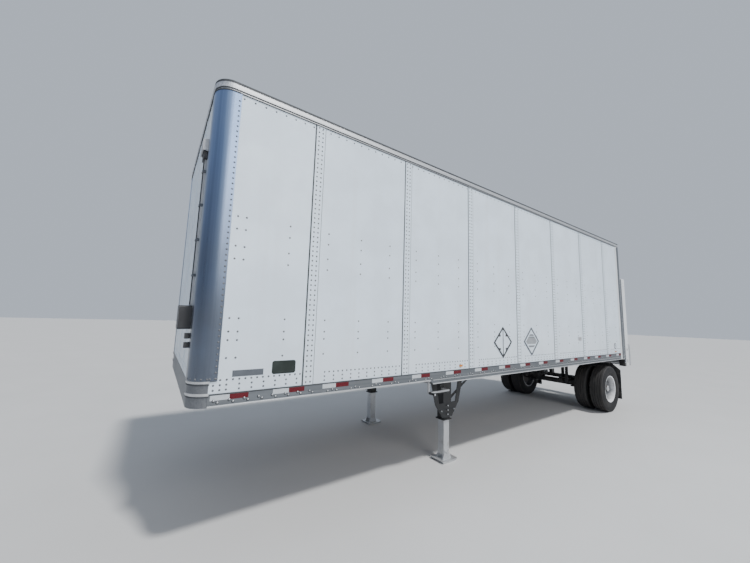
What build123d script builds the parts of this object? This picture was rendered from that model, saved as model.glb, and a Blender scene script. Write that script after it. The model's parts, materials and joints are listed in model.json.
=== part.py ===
import os
from math import ceil

from build123d import *

# Semi trailer: a 31 foot dry freight van on one twin wheeled axle, parked on
# its landing legs, with a rail lift gate folded up behind its roll-up door.
# Millimetres. X points to the nose, Y to the left side, Z up. The origin is on
# the ground in the middle of the whole vehicle. Stations count from the nose.

# Body
body_length = 9520.0
body_width = 2591.0
body_height = 4115.0
nose_radius = 150.0
first_seam = 970.0
last_panel = 888.4
seam_count = 7
wall_thickness = 25.0
rail_skin = 6.0
seat_gap = 0.3

# Side rails and floor
floor_top = 1320.0
floor_thickness = 35.0
rail_top = 1318.0
rail_bottom_front = 1210.0
rail_bottom_rear = 1165.0
rail_step_station = 2690.0
rail_flange_width = 64.0
rail_flange_thickness = 8.0
rail_ledge_width = 40.0
rail_lap = 20.0
top_rail_height = 93.0
top_flange_width = 45.0
top_flange_thickness = 5.0
roof_thickness = 28.0

# Nose
post_reach = 213.0
post_front_reach = 60.0
casting_height = 210.0
casting_skin = 12.0
rib_height = 20.0
rib_proud = 4.0

# Seams
seam_cover_width = 100.0
seam_cover_thickness = 2.5
panel_joint = 2.0

# Floor frame
crossmember_pitch = 305.0
crossmember_first = 400.0
crossmember_flange_width = 57.0
crossmember_web = 6.0
coupler_length = 1900.0
coupler_width = 1220.0
coupler_thickness = 10.0
coupler_nose_rise = 60.0
kingpin_station = 914.0
kingpin_radius = 25.4
kingpin_collar_radius = 36.5
kingpin_collar_drop = 26.0
kingpin_neck_drop = 56.0
kingpin_length = 84.0

# Wheels and axle
rear_overhang = 915.0
tyre_radius = 515.0
tyre_width = 280.0
tyre_tread_width = 224.0
tyre_shoulder = 17.0
tyre_inset = 12.5
dual_spacing = 336.0
rim_radius = 300.0
rim_width = 235.0
rim_wall = 23.0
disc_thickness = 11.0
disc_bore = 110.5
hand_hole_count = 5
hand_hole_radius = 28.0
hand_hole_sides = 8
hand_hole_circle = 238.0
stud_count = 10
stud_circle = 142.9
nut_radius = 19.0
nut_height = 36.0
hub_length = 152.0
hub_cap_radius = 74.0
hub_cap_length = 80.0
drum_radius = 208.0
drum_width = 190.0
axle_radius = 63.5
axle_end_gap = 30.0

# Suspension
spring_inset = 475.0
spring_width = 76.0
spring_half_length = 520.0
spring_leaf = 14.0
spring_leaf_count = 4
leaf_step = 104.0
spring_camber = 36.0
seat_rise = 12.0
seat_length = 160.0
seat_lip = 6.0
clamp_thickness = 16.0
clamp_length = 200.0
bolt_width = 16.0
bolt_clearance = 1.0
hanger_length = 140.0
hanger_width = 110.0
hanger_wall = 10.0
hanger_drop = 20.0
subframe_depth = 110.0
subframe_length = 1300.0
subframe_cross_inset = 200.0
subframe_cross_width = 80.0
chamber_radius = 78.0
chamber_length = 150.0
chamber_inset = 210.0
chamber_rise = 60.0
chamber_gap = 60.0
chamber_bracket = 40.0
chamber_plate = 14.0
tank_radius = 120.0
tank_ahead = 1800.0
tank_bays = 2
tank_inset = 170.0
tank_drop = 30.0
tank_plate = 8.0

# Mud flaps
flap_overhang = 302.0
flap_width = 634.0
flap_inset = 11.5
flap_bottom = 220.0
flap_top = 1080.0
flap_thickness = 10.0
flap_corner_run = 200.0
flap_corner_drop = 174.0
flap_bar = 30.0
flap_post_inset = 75.0

# Landing gear
leg_station = 3330.0
leg_inset = 365.5
leg_width = 127.0
leg_wall = 8.0
leg_bottom = 560.0
leg_foot_reach = 420.0
wing_top_reach = 350.0
wing_bottom_reach = 100.0
wing_waist_reach = 245.0
wing_bottom = 600.0
wing_straight = 790.0
wing_thickness = 8.0
window_inner = 82.0
window_waist = 170.0
window_outer = 232.0
window_bottom = 800.0
window_top = 1105.0
collar_reach = 18.0
collar_thickness = 14.0
gearbox_length = 95.0
gearbox_half_width = 55.0
gearbox_base = 930.0
gearbox_height = 160.0
crank_bar = 24.0
crank_reach = 200.0
crank_member = 8
crank_grip = 110.0
shoe_length = 300.0
shoe_width = 250.0
shoe_thickness = 14.0
shoe_turn_up = 22.0
shoe_turn_run = 26.0
shoe_flat_run = 40.0
shoe_lip = 10.0
shoe_gap = 70.0
cheek_foot_reach = 90.0
cheek_head_reach = 34.0
cheek_rise = 60.0
cheek_thickness = 10.0
shaft_radius = 14.0
shaft_height = 1010.0
brace_width = 50.0
brace_thickness = 8.0
brace_run = 640.0
brace_inset = 20.0

# Rear frame and door
rear_post_depth = 220.0
rear_post_width = 95.0
rear_post_overlap = 50.0
rear_post_wall = 6.0
header_height = 160.0
door_inset = 60.0
door_thickness = 22.0
door_section_count = 9
door_edge = 3.0
latch_width = 220.0
latch_height = 70.0
latch_depth = 18.0
latch_rise = 90.0
latch_bar = 22.0
latch_bar_depth = 12.0
latch_bar_length = 420.0
bumper_height = 100.0
bumper_depth = 100.0
bumper_bottom = 450.0
bumper_inset = 160.5
bumper_gap = 40.0
strut_y = 520.0
strut_width = 90.0
strut_depth = 200.0

# Lift gate
gate_gap = 10.0
column_depth = 300.0
column_width = 120.0
column_wall = 8.0
column_bottom = 980.0
column_top = 3200.0
column_slot = 46.0
column_cut = 32.0
mount_height = 120.0
mount_gap = 20.0
mount_drop = 200.0
runner_clearance = 8.0
runner_top = 2900.0
pad_height = 90.0
pad_root = 0.5
gate_drop = 950.0
gate_web = 24.0
bracket_gap = 12.0
bracket_depth = 103.0
bracket_height = 550.0
hinge_height = 1045.0
hinge_radius = 16.0
hinge_clearance = 0.5
beam_depth = 80.0
beam_clearance = 7.0
platform_thickness = 60.0
platform_height = 1500.0
platform_side_gap = 14.0
platform_ramp = 260.0
platform_tip = 14.0
platform_bay_count = 5
platform_rib_width = 60.0
platform_skin = 6.0

# Fittings
front_marker = 3249.0
rear_marker_inset = 585.0
marker_base = 1354.0
lamp_length = 62.0
lamp_height = 26.0
lamp_depth = 5.0
header_lamp_pitch = 150.0
corner_lamp_inset = 140.0
tail_lamp_length = 150.0
tail_lamp_height = 60.0
tail_lamp_depth = 16.0
tail_lamp_inset = 190.0
nose_box_inset = 415.5
nose_box_width = 250.0
nose_box_height = 210.0
nose_box_depth = 95.0
nose_box_base = 1835.0
nose_box_round = 18.0
coupling_inset = 245.5
coupling_width = 62.0
coupling_height = 46.0
coupling_depth = 40.0
coupling_bases = (1680.0, 1758.0)
conduit_width = 32.0
conduit_depth = 20.0
vent_inset = 330.5
vent_width = 180.0
vent_height = 118.0
vent_fall = 14.0
vent_wall = 6.0
vent_drop = 625.0
vent_depth = 45.0

# Worked out from the sizes above
half_width = body_width / 2
gate_reach = gate_gap + column_depth + bracket_gap + bracket_depth
overall_length = nose_box_depth + body_length + gate_reach
panel_face = half_width - rail_skin
inner_face = panel_face - wall_thickness
floor_bottom = floor_top - floor_thickness
top_rail_bottom = body_height - top_rail_height
casting_top = rail_bottom_front + casting_height
roof_top = body_height - top_flange_thickness
roof_bottom = roof_top - roof_thickness
rear_station = body_length - rear_post_depth
panel_end = rear_station + rear_post_overlap
post_inner = half_width - rear_post_width
sill_bottom = rail_bottom_rear
panel_pitch = (panel_end - first_seam - last_panel) / (seam_count - 1)
axle_station = body_length - rear_overhang
dual_centre = half_width - tyre_inset - (tyre_width + dual_spacing) / 2
outer_tyre_y = dual_centre + dual_spacing / 2
inner_tyre_y = dual_centre - dual_spacing / 2
spring_y = dual_centre - spring_inset
chamber_y = spring_y - chamber_inset
tank_y = spring_y - tank_inset
flap_station = body_length - flap_overhang
flap_outer = half_width - flap_inset
flap_inner = flap_outer - flap_width
leg_y = half_width - leg_inset
front_member_bottom = rail_bottom_front + rail_flange_thickness + seat_gap
member_bottom = rail_bottom_rear + rail_flange_thickness + seat_gap
coupler_top = front_member_bottom - seat_gap
coupler_face = coupler_top - coupler_thickness
door_station = body_length - door_inset
bumper_station = body_length + bumper_gap
bumper_half = half_width - bumper_inset
column_front = body_length + gate_gap
column_rear = column_front + column_depth
column_outer = half_width - seat_gap
column_inner = column_outer - column_width
bracket_station = column_rear + bracket_gap
platform_half = column_inner - platform_side_gap
vent_base = body_height - vent_drop
vent_y = half_width - vent_inset
nose_box_y = half_width - nose_box_inset
coupling_y = half_width - coupling_inset


def x_at(station):
    # Distance behind the nose turned into X
    return overall_length / 2 - nose_box_depth - station


def upright(y):
    # Upright plane along the vehicle at this Y, drawn in X and Z, facing right
    return Plane.XZ.offset(-y)


def level(z):
    return Plane.XY.offset(z)


def member_station(index):
    # Web of this crossmember
    return crossmember_first + crossmember_pitch * index


def save(shape, name):
    shape.label = name
    export_step(shape, f"parts/{name}.step")


def save_pair(left, name):
    # Drawn on the left and mirrored to the right
    save(left, f"{name}_left")
    save(mirror(left, about=Plane.XZ, mode=Mode.PRIVATE), f"{name}_right")


def span(low_station, high_station, low_y, high_y, low_z, high_z):
    # A plain plate or bar between two stations, two Y and two Z
    length = high_station - low_station
    centre = ((x_at(low_station) + x_at(high_station)) / 2, (low_y + high_y) / 2, (low_z + high_z) / 2)
    with Locations(centre):
        return Box(length, high_y - low_y, high_z - low_z)


def nose_plan(inset, thickness, side_reach, front_reach):
    # Plan of a strip that goes round the left front corner
    centre = (x_at(nose_radius), half_width - nose_radius)
    radius = nose_radius - inset
    with BuildSketch(mode=Mode.PRIVATE) as plan:
        with BuildLine():
            if side_reach > nose_radius:
                Line((x_at(side_reach), centre[1] + radius), (centre[0], centre[1] + radius))
            RadiusArc((centre[0], centre[1] + radius), (centre[0] + radius, centre[1]), radius)
            if front_reach > 0:
                Line((centre[0] + radius, centre[1]), (centre[0] + radius, centre[1] - front_reach))
            offset(amount=thickness, side=Side.RIGHT)
        make_face()
    return plan.sketch


os.makedirs("parts", exist_ok=True)

# Front wall, one panel whose edges lie behind the corner posts
with BuildPart() as front_wall:
    wall_edge = half_width - nose_radius
    span(rail_skin, rail_skin + wall_thickness, -wall_edge, wall_edge, casting_top, roof_bottom)
save(front_wall.part, "front_wall")

# Rail across the foot of the front wall
with BuildPart() as front_sill:
    span(rib_proud, rib_proud + casting_skin, -wall_edge, wall_edge, rail_bottom_front, casting_top)
    span(rib_proud, nose_radius, -wall_edge, wall_edge, rail_bottom_front, rail_bottom_front + casting_skin)
    front_rib = edges().filter_by(Axis.Y).group_by(Axis.X)[-1]
    fillet(front_rib, radius=rib_proud)
save(front_sill.part, "front_sill")

# Corner castings with two ribs, under the corner posts
with BuildPart() as corner_castings:
    with BuildSketch(level(rail_bottom_front)):
        add(nose_plan(rib_proud, casting_skin, nose_radius, 0))
    extrude(amount=casting_height)
    for rib_base in (rail_bottom_front + casting_height / 2 - rib_height, casting_top - rib_height):
        with BuildSketch(level(rib_base)):
            add(nose_plan(0, casting_skin, nose_radius, 0))
        extrude(amount=rib_height)
    mirror(about=Plane.XZ)
save(corner_castings.part, "corner_castings")

# Corner posts, a bent skin on each front corner
with BuildPart() as corner_posts:
    with BuildSketch(level(casting_top)):
        add(nose_plan(0, rail_skin, post_reach, post_front_reach))
    extrude(amount=top_rail_bottom - casting_top)
    mirror(about=Plane.XZ)
save(corner_posts.part, "corner_posts")

# Side walls, one solid for each panel
joint_offset = seam_cover_width / 2
seams = [first_seam + panel_pitch * index for index in range(seam_count)]
panel_starts = [nose_radius + seat_gap] + [seam + joint_offset + panel_joint / 2 for seam in seams]
panel_ends = [seam + joint_offset - panel_joint / 2 for seam in seams] + [panel_end]
with BuildPart() as side_panels:
    for start, end in zip(panel_starts, panel_ends):
        span(start, end, inner_face, panel_face, rail_top - rail_lap, roof_bottom)
    # Each cover is part of the panel ahead of its joint and laps the one behind
    cover_face = panel_face + seam_cover_thickness
    cover_base = rail_top + seat_gap
    cover_top = top_rail_bottom - seat_gap
    for seam, end in zip(seams, panel_ends):
        span(seam, end, panel_face, cover_face, cover_base, cover_top)
        span(seam, seam + seam_cover_width, panel_face + seat_gap, cover_face, cover_base, cover_top)
    mirror(about=Plane.XZ)
save(side_panels.part, "side_panels")

# Bottom rails, with a shallow front length and a deeper one behind the step
step_drop = rail_bottom_front - rail_bottom_rear
rail_floor_z = floor_bottom - rail_flange_thickness
with BuildPart() as bottom_rails:
    for low_z, start, end in (
        (rail_bottom_front, nose_radius, rail_step_station + seat_gap),
        (rail_bottom_rear, rail_step_station, rear_station),
    ):
        span(start, end, panel_face, half_width, low_z, rail_top)
        span(start, end, panel_face - rail_flange_width, panel_face, low_z, low_z + rail_flange_thickness)
    span(nose_radius, rear_station, panel_face - rail_ledge_width, panel_face, rail_floor_z, floor_bottom)
    with BuildSketch(upright(half_width)):
        step_x = x_at(rail_step_station)
        with BuildLine():
            Polyline(
                (step_x, rail_bottom_rear),
                (step_x, rail_bottom_front),
                (step_x - step_drop, rail_bottom_rear),
                close=True,
            )
        make_face()
    extrude(amount=rail_skin + rail_flange_width, mode=Mode.SUBTRACT)
    mirror(about=Plane.XZ)
save(bottom_rails.part, "bottom_rails")

# Top rails, angles that lap the walls and the roof
with BuildPart() as top_rails:
    span(nose_radius, body_length, panel_face, half_width, top_rail_bottom, body_height)
    span(nose_radius, body_length, half_width - top_flange_width, half_width, roof_top, body_height)
    mirror(about=Plane.XZ)
save(top_rails.part, "top_rails")

# Front top rail, bent round both corners
with BuildPart() as front_top_rail:
    for base, width, height in (
        (top_rail_bottom, rail_skin, top_rail_height),
        (roof_top, top_flange_width, top_flange_thickness),
    ):
        with BuildSketch(level(base)):
            add(nose_plan(0, width, nose_radius, half_width - nose_radius))
            mirror(about=Plane.XZ)
        extrude(amount=height)
save(front_top_rail.part, "front_top_rail")

# Roof and floor, each one sheet
with BuildPart() as roof:
    with BuildSketch(level(roof_bottom)):
        corner_set = 2 * (panel_face - seat_gap)
        with Locations(((x_at(rail_skin + seat_gap) + x_at(rear_station)) / 2, 0)):
            Rectangle(rear_station - rail_skin - seat_gap, corner_set)
        front_corners = vertices().group_by(Axis.X)[-1]
        fillet(front_corners, radius=nose_radius)
    extrude(amount=roof_thickness)
save(roof.part, "roof")

with BuildPart() as floor:
    floor_front = rib_proud + casting_skin + seat_gap
    with BuildSketch(level(floor_bottom)):
        with Locations(((x_at(floor_front) + x_at(door_station)) / 2, 0)):
            Rectangle(door_station - floor_front, 2 * inner_face)
        fillet(vertices().group_by(Axis.X)[-1], radius=nose_radius)
    extrude(amount=floor_thickness)
save(floor.part, "floor")

# Crossmembers, channels under the floor
member_half = panel_face - rail_ledge_width - seat_gap
member_count = int((door_station - crossmember_first) / crossmember_pitch) + 1
with BuildPart() as crossmembers:
    for index in range(member_count):
        station = member_station(index)
        flange_end = station + crossmember_flange_width
        behind_step = station > rail_step_station + step_drop
        low_z = member_bottom if behind_step else front_member_bottom
        span(station, station + crossmember_web, -member_half, member_half, low_z, floor_bottom)
        for flange_z in (low_z, floor_bottom - crossmember_web):
            span(station, flange_end, -member_half, member_half, flange_z, flange_z + crossmember_web)
save(crossmembers.part, "crossmembers")

# Upper coupler plate, turned up at its front edge, with the kingpin welded into it
pin_x = x_at(kingpin_station)
with BuildPart() as upper_coupler:
    with BuildSketch(upright(coupler_width / 2)):
        front_x = x_at(nose_radius + seat_gap)
        rear_x = x_at(nose_radius + coupler_length)
        with BuildLine():
            Polyline(
                (rear_x, coupler_top),
                (rear_x, coupler_face),
                (front_x - coupler_nose_rise, coupler_face),
                (front_x, coupler_face + coupler_thickness / 2),
                (front_x, coupler_top),
                close=True,
            )
        make_face()
    extrude(amount=coupler_width)
    # Collar, neck and flange of the pin: radius and lower end below the plate
    pin_top = coupler_face
    for radius, drop in (
        (kingpin_collar_radius, kingpin_collar_drop),
        (kingpin_radius, kingpin_neck_drop),
        (kingpin_collar_radius, kingpin_length),
    ):
        pin_base = coupler_face - drop
        with BuildSketch(level(pin_base)):
            with Locations((pin_x, 0)):
                Circle(radius)
        extrude(amount=pin_top - pin_base)
        pin_top = pin_base
save(upper_coupler.part, "upper_coupler")

# Tyres and rims, twin wheels on each side. Profiles are drawn in Y and Z
# above the axle line and turned about it.
axle_x = x_at(axle_station)
axle_line = Axis((axle_x, 0, tyre_radius), (0, 1, 0))
axle_plane = Plane(origin=(axle_x, 0, tyre_radius), x_dir=(0, 1, 0), z_dir=(1, 0, 0))


def wheel_plane(y):
    # Upright plane across the axle line at this Y, drawn about that line, facing left
    return Plane(origin=(axle_x, y, tyre_radius), x_dir=(1, 0, 0), z_dir=(0, 1, 0))


def make_tyre(centre_y, name):
    # The shoulders draw in from the full width of the section to the narrower tread
    half_section = (
        (tyre_width / 2, rim_radius + seat_gap),
        (tyre_width / 2, tyre_radius - tyre_shoulder),
        (tyre_tread_width / 2, tyre_radius),
    )
    outer_side = [(centre_y + reach, radius) for reach, radius in half_section]
    inner_side = [(centre_y - reach, radius) for reach, radius in reversed(half_section)]
    with BuildPart() as tyre:
        with BuildSketch(axle_plane):
            with BuildLine():
                Polyline(*outer_side, *inner_side, close=True)
            make_face()
        revolve(axis=axle_line)
    save_pair(tyre.part, name)


make_tyre(outer_tyre_y, "tyre_outer")
make_tyre(inner_tyre_y, "tyre_inner")


def turned(low_y, high_y, inner, outer):
    # A ring of the section that is turned about the axle line
    with Locations(((low_y + high_y) / 2, (inner + outer) / 2)):
        Rectangle(high_y - low_y, outer - inner)


# Twin rims, clamped disc to disc midway between the tyres
rim_low = inner_tyre_y - rim_width / 2
rim_high = outer_tyre_y + rim_width / 2
with BuildPart() as rims:
    with BuildSketch(axle_plane):
        turned(rim_low, rim_high, rim_radius - rim_wall, rim_radius)
        turned(dual_centre - disc_thickness, dual_centre + disc_thickness, disc_bore, rim_radius)
    revolve(axis=axle_line)
    with BuildSketch(wheel_plane(dual_centre)):
        with PolarLocations(hand_hole_circle, hand_hole_count):
            RegularPolygon(hand_hole_radius, hand_hole_sides)
    extrude(amount=disc_thickness, both=True, mode=Mode.SUBTRACT)
save_pair(rims.part, "rims")

# Hubs, with the brake drum inboard of the discs and the nuts outboard
drum_face = dual_centre - disc_thickness - seat_gap
nut_face = dual_centre + disc_thickness + seat_gap
hub_radius = disc_bore - seat_gap
hub_end = dual_centre + hub_length
axle_end = hub_end - axle_end_gap
with BuildPart() as hub:
    with BuildSketch(axle_plane):
        hub_bore = axle_radius + seat_gap
        turned(drum_face - drum_width, drum_face, hub_bore, drum_radius)
        turned(drum_face, axle_end + seat_gap, hub_bore, hub_radius)
        turned(axle_end + seat_gap, hub_end, 0, hub_radius)
        turned(hub_end, hub_end + hub_cap_length, 0, hub_cap_radius)
    revolve(axis=axle_line)
    with BuildSketch(wheel_plane(nut_face)):
        with PolarLocations(stud_circle, stud_count):
            RegularPolygon(nut_radius, 6)
    extrude(amount=nut_height)
save_pair(hub.part, "hub")

# Axle beam between the hubs
with BuildPart() as axle:
    with BuildSketch(wheel_plane(0)):
        Circle(axle_radius)
    extrude(amount=axle_end, both=True)
save(axle.part, "axle")

# Leaf springs on seats above the axle, with their hangers and the subframe rails
spring_base = tyre_radius + axle_radius + seat_rise
spring_top = spring_base + spring_leaf * spring_leaf_count
clamp_half = clamp_length / 2
leaf_reaches = [spring_half_length - leaf_step * step for step in reversed(range(spring_leaf_count))]


def leaf_line(reach, height, end):
    # The curve of a leaf from the middle to one end, flat between the clamps and rising towards the hanger
    corners = [(x_at(axle_station + end * clamp_half), height)]
    for corner in leaf_reaches:
        if corner <= reach:
            share = (corner - clamp_half) / (spring_half_length - clamp_half)
            corners.append((x_at(axle_station + end * corner), height + spring_camber * share**2))
    return corners


with BuildPart() as leaf_springs:
    for side in (-1, 1):
        for leaf, reach in enumerate(leaf_reaches):
            leaf_z = spring_base + spring_leaf * leaf
            below = leaf_line(reach, leaf_z, -1)[::-1] + leaf_line(reach, leaf_z, 1)
            above = leaf_line(reach, leaf_z + spring_leaf, -1)[::-1] + leaf_line(reach, leaf_z + spring_leaf, 1)
            with BuildSketch(upright(side * spring_y + spring_width / 2)):
                with BuildLine():
                    Polyline(*below, *reversed(above), close=True)
                make_face()
            extrude(amount=spring_width)
save(leaf_springs.part, "leaf_springs")

# Each seat is clamped to its spring and to the axle by four square bolts between two plates
seat_front = axle_station - seat_length / 2
seat_rear = axle_station + seat_length / 2
clamp_front = axle_station - clamp_half
clamp_rear = axle_station + clamp_half
clamp_base = tyre_radius - axle_radius - seat_gap - clamp_thickness
bolt_centre = axle_radius + bolt_clearance + bolt_width / 2
with BuildPart() as spring_seats:
    for side in (-1, 1):
        low_y = side * spring_y - spring_width / 2 - seat_lip
        high_y = side * spring_y + spring_width / 2 + seat_lip
        span(seat_front, seat_rear, low_y, high_y, tyre_radius, spring_base)
    with BuildSketch(wheel_plane(0)):
        Circle(axle_radius)
    extrude(amount=axle_end, both=True, mode=Mode.SUBTRACT)
    for side in (-1, 1):
        seat_low = side * spring_y - spring_width / 2 - seat_lip
        seat_high = side * spring_y + spring_width / 2 + seat_lip
        low_y = seat_low - bolt_clearance - bolt_width
        high_y = seat_high + bolt_clearance + bolt_width
        for plate_z in (spring_top, clamp_base):
            span(clamp_front, clamp_rear, low_y, high_y, plate_z, plate_z + clamp_thickness)
        for bolt_y in (low_y, seat_high + bolt_clearance):
            for end in (-1, 1):
                bolt_station = axle_station + end * bolt_centre - bolt_width / 2
                bolt_end = bolt_station + bolt_width
                span(bolt_station, bolt_end, bolt_y, bolt_y + bolt_width, clamp_base, spring_top)
save(spring_seats.part, "spring_seats")

subframe_base = member_bottom - subframe_depth
subframe_front = axle_station - subframe_length / 2
subframe_rear = axle_station + subframe_length / 2
with BuildPart() as subframe:
    for side in (-1, 1):
        low_y = side * spring_y - hanger_width / 2
        high_y = side * spring_y + hanger_width / 2
        for base in (subframe_base, member_bottom - hanger_wall):
            span(subframe_front, subframe_rear, low_y, high_y, base, base + hanger_wall)
        web_low = side * spring_y - hanger_wall / 2
        span(subframe_front, subframe_rear, web_low, web_low + hanger_wall, subframe_base, member_bottom)
    half_cross = subframe_cross_width / 2
    for cross_station in (subframe_front + subframe_cross_inset, subframe_rear - subframe_cross_inset):
        cross_top = subframe_base + subframe_cross_width
        span(cross_station - half_cross, cross_station + half_cross, -spring_y, spring_y, subframe_base, cross_top)
save(subframe.part, "subframe")

with BuildPart() as spring_hangers:
    for side in (-1, 1):
        for end in (-1, 1):
            front = axle_station + end * spring_half_length - hanger_length / 2
            rear = front + hanger_length
            for cheek in (-1, 1):
                cheek_y = side * spring_y + cheek * (spring_width / 2 + seat_gap + hanger_wall / 2)
                low_y = cheek_y - hanger_wall / 2
                span(front, rear, low_y, low_y + hanger_wall, spring_base - hanger_drop, subframe_base)
            low_y = side * spring_y - spring_width / 2 - seat_gap
            high_y = side * spring_y + spring_width / 2 + seat_gap
            span(front, rear, low_y, high_y, subframe_base - hanger_drop, subframe_base)
            rest_z = spring_top + spring_camber + seat_gap
            span(front, rear, low_y, high_y, rest_z, rest_z + spring_leaf)
save(spring_hangers.part, "spring_hangers")

# Brake chambers, on plates that stand on the axle
chamber_rear_x = axle_x + chamber_gap
with BuildPart() as brake_chambers:
    axle_top = tyre_radius + axle_radius
    plate_front = axle_station - chamber_gap
    for side in (-1, 1):
        chamber_place = (chamber_rear_x, side * chamber_y, axle_top + chamber_rise)
        chamber_plane = Plane(origin=chamber_place, x_dir=(0, 1, 0), z_dir=(1, 0, 0))
        with BuildSketch(chamber_plane):
            Circle(chamber_radius)
        extrude(amount=chamber_length)
        low_y = side * chamber_y - chamber_bracket
        high_y = side * chamber_y + chamber_bracket
        span(plate_front, plate_front + chamber_plate, low_y, high_y, axle_top, axle_top + chamber_rise)
        span(plate_front, axle_station + chamber_bracket, low_y, high_y, axle_top, axle_top + chamber_plate)
save(brake_chambers.part, "brake_chambers")

# Air tank lengthwise under the floor, hung from two crossmembers by a plate at each end
tank_z = member_bottom - tank_radius - tank_drop
tank_member = round((axle_station - tank_ahead - crossmember_first) / crossmember_pitch)
tank_front = member_station(tank_member) + tank_plate
tank_rear = member_station(tank_member + tank_bays)
with BuildPart() as air_tank:
    with BuildSketch(Plane(origin=(x_at(tank_rear), tank_y, tank_z), x_dir=(0, 1, 0), z_dir=(1, 0, 0))):
        Circle(tank_radius)
    extrude(amount=tank_rear - tank_front)
    low_y = tank_y - tank_radius / 2
    for plate_front in (tank_front - tank_plate, tank_rear):
        span(plate_front, plate_front + tank_plate, low_y, low_y + tank_radius, tank_z, member_bottom)
save(air_tank.part, "air_tank")

# Mud flaps on hanger bars behind the wheels, with their upper outer corners cut off
bar_outer = flap_outer - flap_corner_run
with BuildPart() as mud_flaps:
    with BuildSketch(Plane.YZ.offset(x_at(flap_station + flap_thickness))):
        with BuildLine():
            Polyline(
                (flap_inner, flap_bottom),
                (flap_outer, flap_bottom),
                (flap_outer, flap_top - flap_corner_drop),
                (bar_outer, flap_top),
                (flap_inner, flap_top),
                close=True,
            )
        make_face()
    extrude(amount=flap_thickness)
    mirror(about=Plane.XZ)
save(mud_flaps.part, "mud_flaps")

# Their posts hang from the crossmember behind the flaps
flap_member = member_station(ceil((flap_station - crossmember_first) / crossmember_pitch))
arm_end = flap_member + crossmember_flange_width
with BuildPart() as flap_hangers:
    bar_station = flap_station - flap_bar - seat_gap
    bar_end = bar_station + flap_bar
    bar_base = flap_top - flap_bar
    span(bar_station, bar_end, flap_inner, bar_outer, bar_base, flap_top)
    for low_y in (flap_inner + flap_post_inset, bar_outer - flap_post_inset - flap_bar):
        high_y = low_y + flap_bar
        span(bar_station, bar_end, low_y, high_y, bar_base, member_bottom)
        span(bar_station, arm_end, low_y, high_y, member_bottom - flap_bar, member_bottom)
    mirror(about=Plane.XZ)
save(flap_hangers.part, "flap_hangers")

# Landing legs: square outer tubes with a collar at their foot and wing plates with two
# windows each. The gearbox stands ahead of the left leg.
leg_x = x_at(leg_station)
leg_top = member_bottom
leg_bore = leg_width - 2 * leg_wall
collar_width = leg_width + 2 * collar_reach
gearbox_station = leg_station - leg_width / 2 - gearbox_length
gearbox_top = gearbox_base + gearbox_height
gearbox_low_y = leg_y - gearbox_half_width
gearbox_high_y = leg_y + gearbox_half_width
with BuildPart() as landing_legs:
    for width, height in ((leg_width, leg_top - leg_bottom), (collar_width, collar_thickness)):
        with BuildSketch(level(leg_bottom)):
            with Locations((leg_x, leg_y)):
                Rectangle(width, width)
                Rectangle(leg_bore, leg_bore, mode=Mode.SUBTRACT)
        extrude(amount=height)
    wing_face = leg_y + leg_width / 2
    with BuildSketch(upright(wing_face + wing_thickness)):
        with BuildLine():
            Polyline(
                (leg_x - wing_bottom_reach, wing_bottom),
                (leg_x + wing_bottom_reach, wing_bottom),
                (leg_x + wing_waist_reach, wing_straight),
                (leg_x + wing_top_reach, leg_top),
                (leg_x - wing_top_reach, leg_top),
                (leg_x - wing_waist_reach, wing_straight),
                close=True,
            )
        make_face()
        for end in (-1, 1):
            with BuildLine():
                Polyline(
                    (leg_x + end * window_inner, window_bottom),
                    (leg_x + end * window_waist, window_bottom),
                    (leg_x + end * window_outer, window_top),
                    (leg_x + end * window_inner, window_top),
                    close=True,
                )
            make_face(mode=Mode.SUBTRACT)
    extrude(amount=wing_thickness)
    mirror(about=Plane.XZ)
    gearbox_end = gearbox_station + gearbox_length
    span(gearbox_station, gearbox_end, gearbox_low_y, gearbox_high_y, gearbox_base, gearbox_top)
save(landing_legs.part, "landing_legs")

with BuildPart() as landing_feet:
    foot_half = leg_bore / 2 - seat_gap
    foot_front = leg_station - foot_half
    foot_rear = leg_station + foot_half
    shoe_top = shoe_thickness + shoe_gap
    foot_top = leg_bottom + leg_foot_reach
    span(foot_front, foot_rear, leg_y - foot_half, leg_y + foot_half, shoe_top, foot_top)
    shoe_reach = shoe_length / 2
    with BuildSketch(upright(leg_y + shoe_width / 2)):
        with BuildLine():
            Polyline(
                (leg_x - shoe_reach, shoe_thickness + shoe_turn_up),
                (leg_x - shoe_reach + shoe_turn_run, 0),
                (leg_x + shoe_reach - shoe_turn_run, 0),
                (leg_x + shoe_reach, shoe_thickness + shoe_turn_up),
                (leg_x + shoe_reach - shoe_flat_run, shoe_thickness + shoe_lip),
                (leg_x - shoe_reach + shoe_flat_run, shoe_thickness + shoe_lip),
                close=True,
            )
        make_face()
    extrude(amount=shoe_width)
    cheek_top = shoe_top + cheek_rise
    for cheek_face in (leg_y - foot_half, leg_y + foot_half + cheek_thickness):
        with BuildSketch(upright(cheek_face)):
            with BuildLine():
                Polyline(
                    (leg_x - cheek_foot_reach, shoe_thickness),
                    (leg_x + cheek_foot_reach, shoe_thickness),
                    (leg_x + cheek_head_reach, cheek_top),
                    (leg_x - cheek_head_reach, cheek_top),
                    close=True,
                )
            make_face()
        extrude(amount=cheek_thickness)
    mirror(about=Plane.XZ)
save(landing_feet.part, "landing_feet")

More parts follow.
